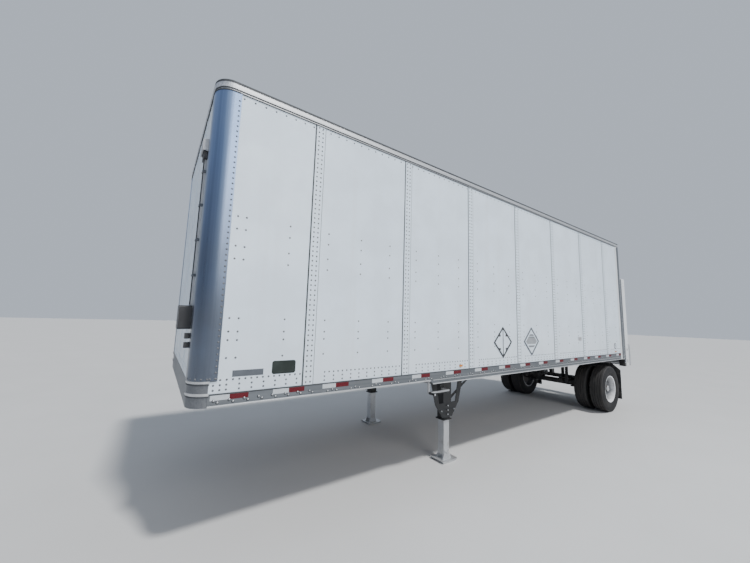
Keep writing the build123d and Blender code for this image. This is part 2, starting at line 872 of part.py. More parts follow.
# Cross shaft between the legs, and the crank stowed on a strap below a crossmember
with BuildPart() as landing_shaft:
    shaft_end = leg_y - leg_width / 2 - seat_gap
    with BuildSketch(upright(shaft_end)):
        with Locations((leg_x, shaft_height)):
            Circle(shaft_radius)
    extrude(amount=2 * shaft_end)
    crank_station = gearbox_station + (gearbox_length - crank_bar) / 2
    crank_end = member_station(crank_member) + crossmember_web
    crank_y = leg_y + crank_reach
    crank_base = shaft_height - crank_bar / 2
    crank_top = crank_base + crank_bar
    arm_low = crank_end - crank_bar
    span(crank_station, crank_station + crank_bar, gearbox_high_y + seat_gap, crank_y, crank_base, crank_top)
    span(arm_low, crank_station + crank_bar, crank_y - crank_bar, crank_y, crank_base, crank_top)
    span(arm_low, crank_end, crank_y, crank_y + crank_grip, crank_base, crank_top)
    span(arm_low, crank_end, crank_y - crank_bar, crank_y, crank_top, member_bottom - seat_gap)
save(landing_shaft.part, "landing_shaft")

with BuildPart() as landing_braces:
    brace_foot_x = leg_x - leg_width / 2
    brace_top_x = brace_foot_x - brace_run
    for side in (-1, 1):
        brace_y = side * (leg_y - brace_inset)
        with BuildSketch(upright(brace_y)):
            with BuildLine():
                Polyline(
                    (brace_foot_x, wing_straight),
                    (brace_foot_x, wing_straight - brace_width),
                    (brace_top_x - brace_width, leg_top),
                    (brace_top_x, leg_top),
                    close=True,
                )
            make_face()
        extrude(amount=brace_thickness)
save(landing_braces.part, "landing_braces")

# Rear frame: posts, header and sill round the doorway
with BuildPart() as rear_posts:
    span(rear_station, body_length, panel_face + seat_gap, half_width, sill_bottom, top_rail_bottom)
    span(body_length - rear_post_wall, body_length, post_inner, half_width, sill_bottom, top_rail_bottom)
    span(panel_end, body_length, post_inner, post_inner + rear_post_wall, floor_top, top_rail_bottom)
    mirror(about=Plane.XZ)
save(rear_posts.part, "rear_posts")

with BuildPart() as rear_header:
    header_bottom = body_height - header_height
    header_half = panel_face - seat_gap
    span(body_length - rear_post_wall, body_length, -header_half, header_half, top_rail_bottom, roof_top)
    span(rear_station, body_length, -header_half, header_half, roof_bottom, roof_top)
    span(
        body_length - rear_post_wall,
        body_length,
        -post_inner + seat_gap,
        post_inner - seat_gap,
        header_bottom,
        top_rail_bottom,
    )
save(rear_header.part, "rear_header")

with BuildPart() as rear_sill:
    sill_half = post_inner - seat_gap
    span(door_station, body_length, -sill_half, sill_half, sill_bottom, floor_top)
save(rear_sill.part, "rear_sill")

# Roll-up door, hinged sections one above the other
with BuildPart() as roll_up_door:
    door_half = post_inner - seat_gap
    section = (header_bottom - seat_gap - floor_top) / door_section_count
    for index in range(door_section_count):
        low_z = floor_top + section * index + seat_gap
        high_z = low_z + section - seat_gap
        span(door_station, door_station + door_thickness, -door_half, door_half, low_z, high_z)
    section_edges = edges().filter_by(Axis.Y).group_by(Axis.X)[0]
    chamfer(section_edges, length=door_edge)
    # Latch on the lowest section, with its bar
    latch_base = floor_top + latch_rise
    latch_face = door_station + door_thickness
    latch_rear = latch_face + latch_depth
    bar_base = latch_base + (latch_height - latch_bar) / 2
    bar_rear = latch_face + latch_bar_depth
    span(latch_face, latch_rear, -latch_width / 2, latch_width / 2, latch_base, latch_base + latch_height)
    span(latch_face, bar_rear, -latch_bar_length / 2, latch_bar_length / 2, bar_base, bar_base + latch_bar)
save(roll_up_door.part, "roll_up_door")

# Underride guard hung below the sill
with BuildPart() as underride_guard:
    bumper_rear = bumper_station + bumper_depth
    bumper_top = bumper_bottom + bumper_height
    span(bumper_station, bumper_rear, -bumper_half, bumper_half, bumper_bottom, bumper_top)
    for side in (-1, 1):
        low_y = side * strut_y - strut_width / 2
        with BuildSketch(upright(low_y + strut_width)):
            with BuildLine():
                Polyline(
                    (x_at(bumper_rear), bumper_bottom),
                    (x_at(bumper_station), bumper_bottom),
                    (x_at(body_length - strut_depth), sill_bottom),
                    (x_at(body_length), sill_bottom),
                    close=True,
                )
            make_face()
        extrude(amount=strut_width)
save(underride_guard.part, "underride_guard")

# Lift gate columns, channels whose slot faces back
with BuildPart() as gate_columns:
    with BuildSketch(level(column_bottom)):
        column_x = (x_at(column_front) + x_at(column_rear)) / 2
        column_y = (column_inner + column_outer) / 2
        with Locations((column_x, column_y)):
            Rectangle(column_depth, column_width)
            Rectangle(column_depth - 2 * column_wall, column_width - 2 * column_wall, mode=Mode.SUBTRACT)
        with Locations((x_at(column_rear), column_y)):
            Rectangle(column_cut, column_slot, mode=Mode.SUBTRACT)
    extrude(amount=column_top - column_bottom)
    span(column_front, column_rear, column_inner, column_outer, column_top, column_top + column_wall)
    for mount_z in (sill_bottom + mount_gap, casting_top, column_top - mount_drop):
        span(body_length, column_front, column_inner, column_outer, mount_z, mount_z + mount_height)
    mirror(about=Plane.XZ)
save(gate_columns.part, "gate_columns")

# Gate carriage: runners inside the columns, brackets behind them and a cross beam
runner_wall = column_wall
pad_reach = runner_clearance - seat_gap
pad_low = column_bottom + gate_drop + pad_height / 2
runner_half_y = column_width / 2 - column_wall - runner_clearance
runner_front = column_front + column_wall + runner_clearance
runner_rear = column_rear - column_wall - runner_clearance
runner_depth = runner_rear - runner_front
runner_x = (x_at(runner_front) + x_at(runner_rear)) / 2
bracket_top = column_bottom + bracket_height
bracket_x = x_at(bracket_station)
bracket_rear_x = x_at(bracket_station + bracket_depth)
hinge_x = bracket_x - platform_thickness / 2
beam_top = hinge_height - platform_thickness / 2 - beam_clearance
foot_top = column_bottom + bracket_depth / 2
with BuildPart() as gate_carriage:
    for side in (-1, 1):
        centre_y = side * column_y
        # A square tube that runs in the column, with two slide pads round it
        for base, height, outside, inside in (
            (column_bottom, runner_top - column_bottom, 0, -runner_wall),
            (pad_low, pad_height, pad_reach, -pad_root),
            (runner_top - pad_height, pad_height, pad_reach, -pad_root),
        ):
            with BuildSketch(level(base)):
                with Locations((runner_x, centre_y)):
                    Rectangle(runner_depth + 2 * outside, 2 * (runner_half_y + outside))
                    Rectangle(runner_depth + 2 * inside, 2 * (runner_half_y + inside), mode=Mode.SUBTRACT)
            extrude(amount=height)
        web_low = centre_y - gate_web / 2
        span(runner_rear, bracket_station, web_low, web_low + gate_web, column_bottom, bracket_top - bracket_depth)
        with BuildSketch(upright(centre_y + column_width / 2)):
            with BuildLine():
                Line((bracket_x, foot_top), (bracket_x, bracket_top))
                RadiusArc((bracket_x, bracket_top), (bracket_rear_x, bracket_top - bracket_depth), -bracket_depth)
                Line((bracket_rear_x, bracket_top - bracket_depth), (bracket_rear_x, foot_top))
                RadiusArc((bracket_rear_x, foot_top), (bracket_x, foot_top), -bracket_depth / 2)
            make_face()
            with Locations((hinge_x, hinge_height)):
                Circle(hinge_radius + hinge_clearance, mode=Mode.SUBTRACT)
        extrude(amount=column_width)
    span(bracket_station, bracket_station + beam_depth, -column_inner, column_inner, column_bottom, beam_top)
save(gate_carriage.part, "gate_carriage")

# Platform folded upright, a deck with a ramp at its free end and ribs behind it
deck_top = hinge_height + platform_height
with BuildPart() as gate_platform:
    back_x = bracket_x - platform_thickness
    with BuildSketch(upright(platform_half)):
        with BuildLine():
            Polyline(
                (bracket_x, hinge_height),
                (bracket_x, deck_top),
                (back_x + platform_tip, deck_top + platform_ramp),
                (back_x, deck_top + platform_ramp),
                (back_x, hinge_height),
            )
            RadiusArc((back_x, hinge_height), (bracket_x, hinge_height), -platform_thickness / 2)
        make_face()
    extrude(amount=2 * platform_half)
    bay = (platform_height - platform_rib_width) / platform_bay_count
    pocket_depth = platform_thickness - platform_skin
    pocket_x = back_x + pocket_depth / 2
    pocket_width = 2 * (platform_half - platform_rib_width)
    pocket_height = bay - platform_rib_width
    for index in range(platform_bay_count):
        low_z = hinge_height + platform_rib_width + bay * index
        with Locations((pocket_x, 0, low_z + pocket_height / 2)):
            Box(pocket_depth, pocket_width, pocket_height, mode=Mode.SUBTRACT)
    for side in (-1, 1):
        with BuildSketch(upright(side * platform_half)):
            with Locations((hinge_x, hinge_height)):
                Circle(hinge_radius)
        extrude(amount=-side * (column_outer - platform_half - platform_skin))
save(gate_platform.part, "gate_platform")

# Side marker lamps on the panels
with BuildPart() as marker_lamps:
    marker_top = marker_base + lamp_height
    for station in (front_marker, body_length - rear_marker_inset):
        span(station, station + lamp_length, panel_face, half_width + lamp_depth, marker_base, marker_top)
    mirror(about=Plane.XZ)
save(marker_lamps.part, "marker_lamps")

# Rear lamps: a row of three and two corner ones on the header, and the tail lamps on the guard
corner_lamp_y = half_width - corner_lamp_inset
tail_lamp_y = bumper_half - tail_lamp_inset
with BuildPart() as rear_lamps:
    header_lamp_z = (top_rail_bottom + roof_top) / 2
    for y in (-corner_lamp_y, -header_lamp_pitch, 0, header_lamp_pitch, corner_lamp_y):
        low_y = y - lamp_length / 2
        low_z = header_lamp_z - lamp_height / 2
        span(body_length, body_length + lamp_depth, low_y, low_y + lamp_length, low_z, low_z + lamp_height)
    for side in (-1, 1):
        low_y = side * tail_lamp_y - tail_lamp_length / 2
        low_z = (bumper_bottom + bumper_top - tail_lamp_height) / 2
        lamp_rear = bumper_rear + tail_lamp_depth
        span(bumper_rear, lamp_rear, low_y, low_y + tail_lamp_length, low_z, low_z + tail_lamp_height)
save(rear_lamps.part, "rear_lamps")

# Connection box on the front wall, with the two air couplings beside it
with BuildPart() as nose_box:
    box_rear = rail_skin - seat_gap
    box_low = nose_box_y - nose_box_width / 2
    box_high = nose_box_y + nose_box_width / 2
    box_top = nose_box_base + nose_box_height
    span(-nose_box_depth, box_rear, box_low, box_high, nose_box_base, box_top)
    fillet(edges().filter_by(Axis.X), radius=nose_box_round)
    for base in coupling_bases:
        low_y = coupling_y - coupling_width / 2
        span(-coupling_depth, box_rear, low_y, low_y + coupling_width, base, base + coupling_height)
save(nose_box.part, "nose_box")

# Vent hood under the roof line, open below, with a conduit down to the connection box
with BuildPart() as front_vent:
    vent_front_x = x_at(-vent_depth)
    vent_rear_x = x_at(box_rear)
    with BuildSketch(upright(vent_y + vent_width / 2)):
        with BuildLine():
            Polyline(
                (vent_rear_x, vent_base),
                (vent_front_x, vent_base),
                (vent_front_x, vent_base + vent_height - vent_fall),
                (vent_rear_x, vent_base + vent_height),
                close=True,
            )
        make_face()
    extrude(amount=vent_width)
    with BuildSketch(level(vent_base)):
        with Locations(((vent_front_x + vent_rear_x) / 2, vent_y)):
            Rectangle(vent_depth - 2 * vent_wall, vent_width - 2 * vent_wall)
    extrude(amount=vent_height / 3, mode=Mode.SUBTRACT)
    conduit_low = vent_y - conduit_width / 2
    conduit_base = box_top + seat_gap
    conduit_top = vent_base + vent_wall
    span(-conduit_depth, box_rear, conduit_low, conduit_low + conduit_width, conduit_base, conduit_top)
save(front_vent.part, "front_vent")
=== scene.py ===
import json
import math

import bpy
import bmesh
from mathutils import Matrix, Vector


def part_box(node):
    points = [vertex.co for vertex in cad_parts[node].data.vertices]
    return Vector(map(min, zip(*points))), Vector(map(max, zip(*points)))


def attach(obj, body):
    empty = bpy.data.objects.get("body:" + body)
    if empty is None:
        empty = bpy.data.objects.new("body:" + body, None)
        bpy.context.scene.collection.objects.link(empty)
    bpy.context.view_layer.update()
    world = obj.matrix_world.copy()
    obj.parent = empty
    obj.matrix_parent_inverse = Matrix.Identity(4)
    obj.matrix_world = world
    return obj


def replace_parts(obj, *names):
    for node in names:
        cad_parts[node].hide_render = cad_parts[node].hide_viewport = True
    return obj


# Semi trailer, a dry freight van on one twin wheeled axle. X points to the nose, Y to the left, Z up.
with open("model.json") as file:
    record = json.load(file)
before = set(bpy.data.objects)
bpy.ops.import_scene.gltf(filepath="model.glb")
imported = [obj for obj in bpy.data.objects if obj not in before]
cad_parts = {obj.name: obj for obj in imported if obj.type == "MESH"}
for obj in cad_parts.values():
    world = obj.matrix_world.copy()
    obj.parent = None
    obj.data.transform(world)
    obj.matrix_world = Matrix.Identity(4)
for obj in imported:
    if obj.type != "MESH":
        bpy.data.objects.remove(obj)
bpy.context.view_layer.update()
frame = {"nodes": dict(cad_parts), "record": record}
nodes = frame["nodes"]

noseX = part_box("corner_posts")[1].x
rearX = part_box("rear_posts")[0].x
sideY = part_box("bottom_rails")[1].y
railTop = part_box("bottom_rails")[1].z
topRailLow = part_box("top_rails")[0].z
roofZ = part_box("top_rails")[1].z
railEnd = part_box("bottom_rails")[0].x
panelY = sideY - 0.006  # face of the white panels
coverY = panelY + 0.0025  # face of the seam covers
seamX = noseX - 0.970  # the first of the panel seams
seamPitch = 1.2486
seamCount = 7
postRadius = 0.150  # round of the corner posts, the left one's about cornerX and cornerY
cornerX, cornerY = noseX - postRadius, sideY - postRadius


# Helpers for selecting and shaping


def clearAll():
    if bpy.context.object and bpy.context.object.mode != "OBJECT":
        bpy.ops.object.mode_set(mode="OBJECT")
    bpy.ops.object.select_all(action="DESELECT")


def take(piece):
    clearAll()
    piece.select_set(True)
    bpy.context.view_layer.objects.active = piece


def settle(piece):
    # Its place goes into its mesh, and its object stands at the origin
    take(piece)
    bpy.ops.object.transform_apply(location=True, rotation=True, scale=True)
    return piece


def modify(piece, kind, **settings):
    take(piece)
    made = piece.modifiers.new(kind.title(), kind)
    for key, value in settings.items():
        setattr(made, key, value)
    bpy.ops.object.modifier_apply(modifier=made.name)
    return piece


def soften(piece, width, segments=2, angle=40):
    limit = math.radians(angle)
    return modify(piece, "BEVEL", width=width, segments=segments, limit_method="ANGLE", angle_limit=limit)


def smooth(piece, angle=35):
    take(piece)
    bpy.ops.object.shade_smooth_by_angle(angle=math.radians(angle))
    return piece


def block(low, high, bevel=0.0015):
    # A cut plate or bar between two corners, its edges broken
    clearAll()
    low, high = Vector(low), Vector(high)
    bpy.ops.mesh.primitive_cube_add(size=1, location=(low + high) / 2, scale=high - low)
    piece = settle(bpy.context.object)
    return soften(piece, bevel) if bevel else piece


def rod(start, end, radius, sides, bevel=0.0):
    clearAll()
    start, end = Vector(start), Vector(end)
    turn = (end - start).to_track_quat("Z", "Y").to_euler()
    bpy.ops.mesh.primitive_cylinder_add(
        vertices=sides, radius=radius, depth=(end - start).length, location=(start + end) / 2, rotation=turn
    )
    piece = settle(bpy.context.object)
    return smooth(soften(piece, bevel) if bevel else piece)


def merge(name, pieces):
    take(pieces[0])
    for piece in pieces:
        piece.select_set(True)
    bpy.context.view_layer.objects.active = pieces[0]
    if len(pieces) > 1:
        bpy.ops.object.join()
    pieces[0].name = name
    pieces[0].data.name = name
    return pieces[0]


def twin(piece):
    # The same again on the other side of the vehicle
    return modify(piece, "MIRROR", use_axis=(False, True, False), use_mirror_merge=False)


def repeat(piece, count, step):
    settings = {"use_relative_offset": False, "use_constant_offset": True, "constant_offset_displace": step}
    return modify(piece, "ARRAY", count=count, **settings) if count > 1 else piece


def middle(node):
    low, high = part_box(node)
    return [(start + end) / 2 for start, end in zip(low, high)]


def circle(count, centre, radius):
    # Places of X and Z on a circle round an axle
    angles = [2 * math.pi * index / count for index in range(count)]
    return [(centre[0] + radius * math.cos(angle), centre[2] + radius * math.sin(angle)) for angle in angles]


def trace(points, closed=True):
    # A line through the points, drawn vertex by vertex from one start, left in edit mode with all of it selected
    clearAll()
    points = [Vector(point) for point in points]
    bpy.ops.mesh.primitive_plane_add(size=0.01, location=points[0])
    piece = bpy.context.object
    bpy.ops.object.transform_apply(location=True)
    bpy.ops.object.mode_set(mode="EDIT")
    bpy.ops.mesh.select_mode(type="VERT")
    bpy.ops.mesh.select_all(action="SELECT")
    bpy.ops.mesh.merge(type="CENTER")
    for before, after in zip(points, points[1:]):
        bpy.ops.mesh.extrude_vertices_move(TRANSFORM_OT_translate={"value": after - before})
    if closed:
        ends = (points[0], points[-1])
        pick(piece, "verts", lambda vert: any((vert.co - end).length < 1e-5 for end in ends))
        bpy.ops.mesh.edge_face_add()
    bpy.ops.mesh.select_all(action="SELECT")
    return piece


def pick(piece, kind, wanted):
    # Selects the faces, edges or vertices of the piece in edit mode that answer to a test
    mode = {"faces": "FACE", "edges": "EDGE", "verts": "VERT"}[kind]
    bpy.ops.mesh.select_mode(type=mode)
    bpy.ops.mesh.select_all(action="DESELECT")
    shape = bmesh.from_edit_mesh(piece.data)
    for item in getattr(shape, kind):
        item.select_set(bool(wanted(item)))
    shape.select_flush_mode()
    bmesh.update_edit_mesh(piece.data)


def outline(points, plane, start, depth):
    # A flat outline extruded by its depth from its start. XZ grows to +Y and XY to +Z.
    first, second, third = {"XZ": (0, 2, 1), "XY": (0, 1, 2)}[plane]
    corners = []
    for u, v in points:
        corner = Vector((0, 0, 0))
        corner[first], corner[second], corner[third] = u, v, start
        corners.append(corner)
    grow = Vector((0, 0, 0))
    grow[third] = depth
    piece = trace(corners)
    bpy.ops.mesh.edge_face_add()
    bpy.ops.mesh.extrude_region_move(TRANSFORM_OT_translate={"value": grow})
    bpy.ops.mesh.select_all(action="SELECT")
    bpy.ops.mesh.normals_make_consistent(inside=False)
    bpy.ops.object.mode_set(mode="OBJECT")
    return settle(piece)


def turned(profile, centre, steps, axis=(0, 1, 0)):
    # A profile of (along the axis, radius) spun about a line through the centre
    centre = Vector(centre)
    along = Vector(axis)
    out = Vector((0, 0, 1))
    closed = profile[0][1] > 0.0001 or profile[-1][1] > 0.0001
    piece = trace([centre + along * reach + out * radius for reach, radius in profile], closed)
    bpy.ops.mesh.spin(steps=steps, dupli=False, angle=2 * math.pi, center=centre, axis=along)
    bpy.ops.mesh.select_all(action="SELECT")
    bpy.ops.mesh.remove_doubles(threshold=0.00005)
    bpy.ops.mesh.normals_make_consistent(inside=False)
    bpy.ops.object.mode_set(mode="OBJECT")
    return settle(piece)


def wear(piece, finish, body="trailer"):
    # Its finish, and the body that it moves with
    piece.data.materials.clear()
    piece.data.materials.append(finish)
    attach(piece, body)
    return piece


def fit(name, pieces, finish, both=False, body="trailer"):
    # One piece out of many, on one side of the vehicle or on both
    piece = merge(name, pieces)
    if both:
        twin(piece)
    return wear(piece, finish, body)


# Shader maths


class Wire:
    # One socket of a finish, so that maths on it reads as maths
    def __init__(self, finish, socket):
        self.finish = finish
        self.socket = socket

    def maths(self, operation, other, swapped=False):
        first, second = (other, self) if swapped else (self, other)
        return self.finish.node("ShaderNodeMath", {"operation": operation}, {0: first, 1: second})

    def __add__(self, other):
        return self.maths("ADD", other)

    def __radd__(self, other):
        return self.maths("ADD", other, True)

    def __sub__(self, other):
        return self.maths("SUBTRACT", other)

    def __rsub__(self, other):
        return self.maths("SUBTRACT", other, True)

    def __mul__(self, other):
        return self.maths("MULTIPLY", other)

    def __rmul__(self, other):
        return self.maths("MULTIPLY", other, True)

    def __pow__(self, other):
        return self.maths("POWER", other)


class Finish:
    def __init__(self, name, tree=None):
        self.tree = tree
        if tree:
            tree.nodes.clear()
            return
        self.material = bpy.data.materials.new(name)
        self.material.use_nodes = True
        self.tree = self.material.node_tree
        self.tree.nodes.clear()
        self.surface = self.node("ShaderNodeBsdfPrincipled")
        self.node("ShaderNodeOutputMaterial", None, {"Surface": self.surface}, None)
        self.place = self.node("ShaderNodeTexCoord", output="Object")

    def node(self, kind, settings=None, sockets=None, output=0):
        made = self.tree.nodes.new(kind)
        for key, value in (settings or {}).items():
            setattr(made, key, value)
        for key, value in (sockets or {}).items():
            if isinstance(value, Wire):
                self.tree.links.new(value.socket, made.inputs[key])
            else:
                made.inputs[key].default_value = value
        return None if output is None else Wire(self, made.outputs[output])

    def axisOf(self, name):
        return self.node("ShaderNodeSeparateXYZ", None, {0: self.place}, name)

    def upward(self):
        # 1 where the surface faces the sky, -1 where it faces the ground
        normal = self.node("ShaderNodeNewGeometry", output="Normal")
        return self.node("ShaderNodeSeparateXYZ", None, {0: normal}, "Z")

    def noise(self, scale, detail, stretch=(1, 1, 1)):
        spread = self.node("ShaderNodeMapping", None, {"Vector": self.place, "Scale": stretch})
        sockets = {"Vector": spread, "Scale": scale, "Detail": detail, "Roughness": 0.55}
        return self.node("ShaderNodeTexNoise", None, sockets, "Fac")

    def cells(self, scale):
        return self.node("ShaderNodeTexVoronoi", None, {"Vector": self.place, "Scale": scale}, "Distance")

    def between(self, value, low, high):
        # 0 below low and 1 above high, with a soft step
        sockets = {"Value": value, "From Min": low, "From Max": high}
        return self.node("ShaderNodeMapRange", {"interpolation_type": "SMOOTHSTEP"}, sockets)

    def blend(self, mask, first, second):
        settings = {"data_type": "RGBA"}
        sockets = {"Factor": mask, 6: self.tint(first), 7: self.tint(second)}
        return self.node("ShaderNodeMix", settings, sockets, 2)

    def tint(self, value):
        if isinstance(value, Wire):
            return value
        return (*value, 1.0) if len(value) == 3 else value

    def bump(self, height, distance, strength=1.0):
        sockets = {"Height": height, "Distance": distance, "Strength": strength}
        return self.node("ShaderNodeBump", None, sockets)

    def set(self, **values):
        names = {
            "color": "Base Color",
            "rough": "Roughness",
            "metal": "Metallic",
            "coat": "Coat Weight",
            "coatRough": "Coat Roughness",
            "specular": "Specular IOR Level",
            "normal": "Normal",
            "glow": "Emission Color",
            "glowPower": "Emission Strength",
        }
        shader = self.surface.socket.node
        for key, value in values.items():
            target = shader.inputs[names[key]]
            if isinstance(value, Wire):
                self.tree.links.new(value.socket, target)
            else:
                target.default_value = self.tint(value) if key in ("color", "glow") else value
        return self.material


def paint(name, base, dustAmount, rough, coat=0.15, low=0.0, high=1.5, wave=0.0):
    # Sprayed or coil coated paint: faint mottling, dust that lies lower down, rain streaks
    look = Finish(name)
    mottle = look.noise(2.2, 4)
    fine = look.noise(60, 2)
    streaks = look.between(look.noise(5.5, 4, (1, 1, 0.04)), 0.52, 0.75)
    foot = 1 - look.between(look.axisOf("Z"), low, high)
    mask = (foot * 0.7 + streaks * 0.35) * (mottle * 0.8 + 0.35) * dustAmount
    pale = tuple(min(1, channel * 1.03) for channel in base)
    deep = tuple(channel * 0.95 for channel in base)
    color = look.blend(look.between(mottle, 0.35, 0.65), deep, pale)
    color = look.blend(mask, color, (0.45, 0.42, 0.38))
    normal = look.bump(fine * 0.06 + mottle * wave, 0.002, 0.5)
    return look.set(color=color, rough=mask * 0.5 + fine * 0.06 + rough, coat=coat, coatRough=0.12, normal=normal)


def brushed(name, base, stretch, rough, metal, grime, streakScale=9.0, paintedLowReflection=None, grimeAndReflectionColor=(0.16, 0.15, 0.14)):
    # Extruded or rolled aluminium, drawn out along one direction. A painted dark reflection, in the grime colour,
    # fades out between two heights.
    look = Finish(name)
    lines = look.noise(streakScale, 5, stretch)
    fineLines = look.noise(streakScale * 9, 3, stretch)
    patches = look.noise(1.7, 5)
    dirt = look.between(patches * 0.6 + lines * 0.4, 0.46, 0.72) * grime
    pale = tuple(min(1, channel * 1.08) for channel in base)
    deep = tuple(channel * 0.80 for channel in base)
    color = look.blend(look.between(lines, 0.3, 0.7), deep, pale)
    color = look.blend(dirt, color, grimeAndReflectionColor)
    # Painted reflection: darker towards the bottom, standing in for the dark ground mirrored in the metal
    if paintedLowReflection:
        low, high, amount = paintedLowReflection
        foot = (1 - look.between(look.axisOf("Z"), low, high)) * amount
        color = look.blend(foot * (patches * 0.4 + 0.8), color, grimeAndReflectionColor)
    return look.set(
        color=color,
        metal=metal - dirt * 0.5,
        rough=lines * 0.18 + dirt * 0.4 + rough,
        normal=look.bump(fineLines * 0.5 + lines * 0.5, 0.0006, 0.35),
    )


def chassisPaint(name, base, dustAmount=0.45, rustAmount=0.35):
    # Dull chassis paint: dust on what faces up, rust in spots
    look = Finish(name)
    upward = look.between(look.upward(), 0.3, 0.9)
    speckle = look.between(look.noise(38, 6), 0.58, 0.68)
    patch = look.between(look.noise(4.5, 5), 0.45, 0.70)
    veil = (upward * 0.6 + patch * 0.35) * dustAmount
    color = look.blend(look.noise(9, 3), tuple(c * 0.7 for c in base), tuple(c * 1.35 for c in base))
    color = look.blend(veil, color, (0.30, 0.28, 0.25))
    color = look.blend(speckle * patch * rustAmount, color, (0.20, 0.085, 0.035))
    return look.set(color=color, rough=veil * 0.3 + 0.5, normal=look.bump(look.noise(120, 4), 0.0008, 0.4))


def zincFinish():
    look = Finish("zincCoat")
    spangle = look.cells(140)
    stain = look.noise(11, 5)
    color = look.blend(look.between(spangle, 0.05, 0.5), (0.66, 0.67, 0.68), (0.52, 0.53, 0.54))
    color = look.blend(look.between(stain, 0.55, 0.75) * 0.5, color, (0.34, 0.32, 0.30))
    return look.set(color=color, metal=0.75, rough=stain * 0.25 + 0.35, normal=look.bump(spangle, 0.0004, 0.3))


def rubberFinish():
    look = Finish("flapRubber")
    grime = look.between(look.noise(7, 5), 0.4, 0.72)
    color = look.blend(grime * 0.35, (0.020, 0.020, 0.021), (0.17, 0.16, 0.145))
    return look.set(color=color, rough=grime * 0.15 + 0.72, normal=look.bump(look.noise(160, 4), 0.0008, 0.5))


tyre = {
    "axle": (-3.680, 0.515), "radius": 0.515, "treadHalf": 0.112, "crownDrop": 0.004,
    "grooves": (-0.072, -0.026, 0.026, 0.072), "grooveHalf": 0.0055, "grooveDepth": 0.013,
    # Half width and drop below the crown, from the shoulder to the bead
    "side": (
        (0.112, 0.004), (0.119, 0.010), (0.1265, 0.028), (0.1330, 0.052), (0.1375, 0.080), (0.1395, 0.103),
        (0.140, 0.122), (0.1388, 0.142), (0.1345, 0.165), (0.1280, 0.188), (0.1205, 0.202), (0.1185, 0.2115),
        (0.106, 0.2245),
    ),
    "steps": 96,
}


def tyreFinish():
    # Dust in the grooves and on the side walls, scuffed shoulders
    look = Finish("tyreRubber")
    grain = look.noise(210, 3)
    scuff = look.between(look.noise(16, 5), 0.45, 0.75)
    road = look.noise(3.1, 4)
    color = look.blend(scuff * 0.45, (0.016, 0.016, 0.017), (0.045, 0.043, 0.040))
    color = look.blend(look.between(road, 0.5, 0.7) * 0.15, color, (0.12, 0.11, 0.098))
    ahead = look.axisOf("X") - tyre["axle"][0]
    above = look.axisOf("Z") - tyre["axle"][1]
    reach = (ahead * ahead + above * above) ** 0.5
    tread = look.between(reach, tyre["radius"] - 0.030, tyre["radius"] - 0.008)
    color = look.blend(tread * (scuff * 0.3 + 0.55), color, (0.052, 0.050, 0.048))
    return look.set(color=color, rough=scuff * 0.12 + 0.76, specular=0.3, normal=look.bump(grain, 0.0008, 0.45))


def rimFinish():
    # White wheel enamel with patches of brake dust and rust at the nuts. The inner barrel towards the hub is
    # darkened with painted shade.
    look = Finish("wheelEnamel")
    dusty = look.between(look.noise(14, 5), 0.42, 0.7)
    spots = look.between(look.noise(85, 5), 0.66, 0.74)
    across = look.node("ShaderNodeMath", {"operation": "ABSOLUTE"}, {0: look.axisOf("Y")})
    # Painted shade: the inner barrel, deeper than the outer flange, is made nearly black as if in shadow
    inside = 1 - look.between(across, 1.12, 1.25)
    color = look.blend(dusty * 0.4, (0.86, 0.87, 0.88), (0.47, 0.45, 0.42))
    color = look.blend(inside * (dusty * 0.2 + 0.78), color, (0.115, 0.118, 0.125))
    color = look.blend(spots * 0.5, color, (0.32, 0.16, 0.08))
    normal = look.bump(look.noise(140, 3), 0.0005, 0.3)
    return look.set(color=color, rough=dusty * 0.25 + 0.26, coat=0.35, coatRough=0.15, normal=normal)


def castFinish():
    look = Finish("castIron")
    grit = look.noise(90, 6)
    rust = look.between(look.noise(6, 5), 0.42, 0.66)
    color = look.blend(grit, (0.035, 0.035, 0.036), (0.10, 0.096, 0.092))
    color = look.blend(rust * 0.25, color, (0.16, 0.095, 0.055))
    return look.set(color=color, metal=0.35, rough=0.62 + rust * 0.2, normal=look.bump(grit, 0.0015, 0.6))


def boardFinish():
    # Laminated oak strips along the floor, dark and dusty below
    look = Finish("oakBoards")
    y = look.axisOf("Y")
    board = look.node("ShaderNodeMath", {"operation": "FRACT"}, {0: y * (1 / 0.035)})
    joint = look.between(board, 0.0, 0.05) * (1 - look.between(board, 0.95, 1.0))
    grain = look.noise(24, 6, (0.08, 1, 1))
    boards = look.noise(1, 0, (0.7, 28.57, 1))
    color = look.blend(grain, (0.26, 0.16, 0.085), (0.46, 0.31, 0.18))
    color = look.blend(look.between(boards, 0.35, 0.65) * 0.5, color, (0.34, 0.22, 0.13))
    color = look.blend(1 - joint, color, (0.06, 0.045, 0.03))
    return look.set(color=color, rough=grain * 0.2 + 0.55, normal=look.bump(joint * 0.6 + grain * 0.3, 0.001, 0.6))


def lensFinish(name, base):
    look = Finish(name)
    ribs = look.cells(170)
    color = look.blend(look.between(ribs, 0.0, 0.6), base, tuple(c * 0.55 for c in base))
    # A faint glow painted on the unlit lens
    look.set(coat=0.8, coatRough=0.05, glow=base, glowPower=0.05)
    return look.set(color=color, rough=look.noise(40, 2) * 0.08 + 0.10, normal=look.bump(ribs, 0.0008, 0.5))


def plasticFinish(name, base, rough=0.45):
    look = Finish(name)
    grain = look.noise(260, 3)
    haze = look.between(look.noise(8, 4), 0.4, 0.75)
    color = look.blend(haze * 0.35, base, tuple(min(1, c * 1.5 + 0.05) for c in base))
    return look.set(color=color, rough=haze * 0.2 + rough, normal=look.bump(grain, 0.0005, 0.5))


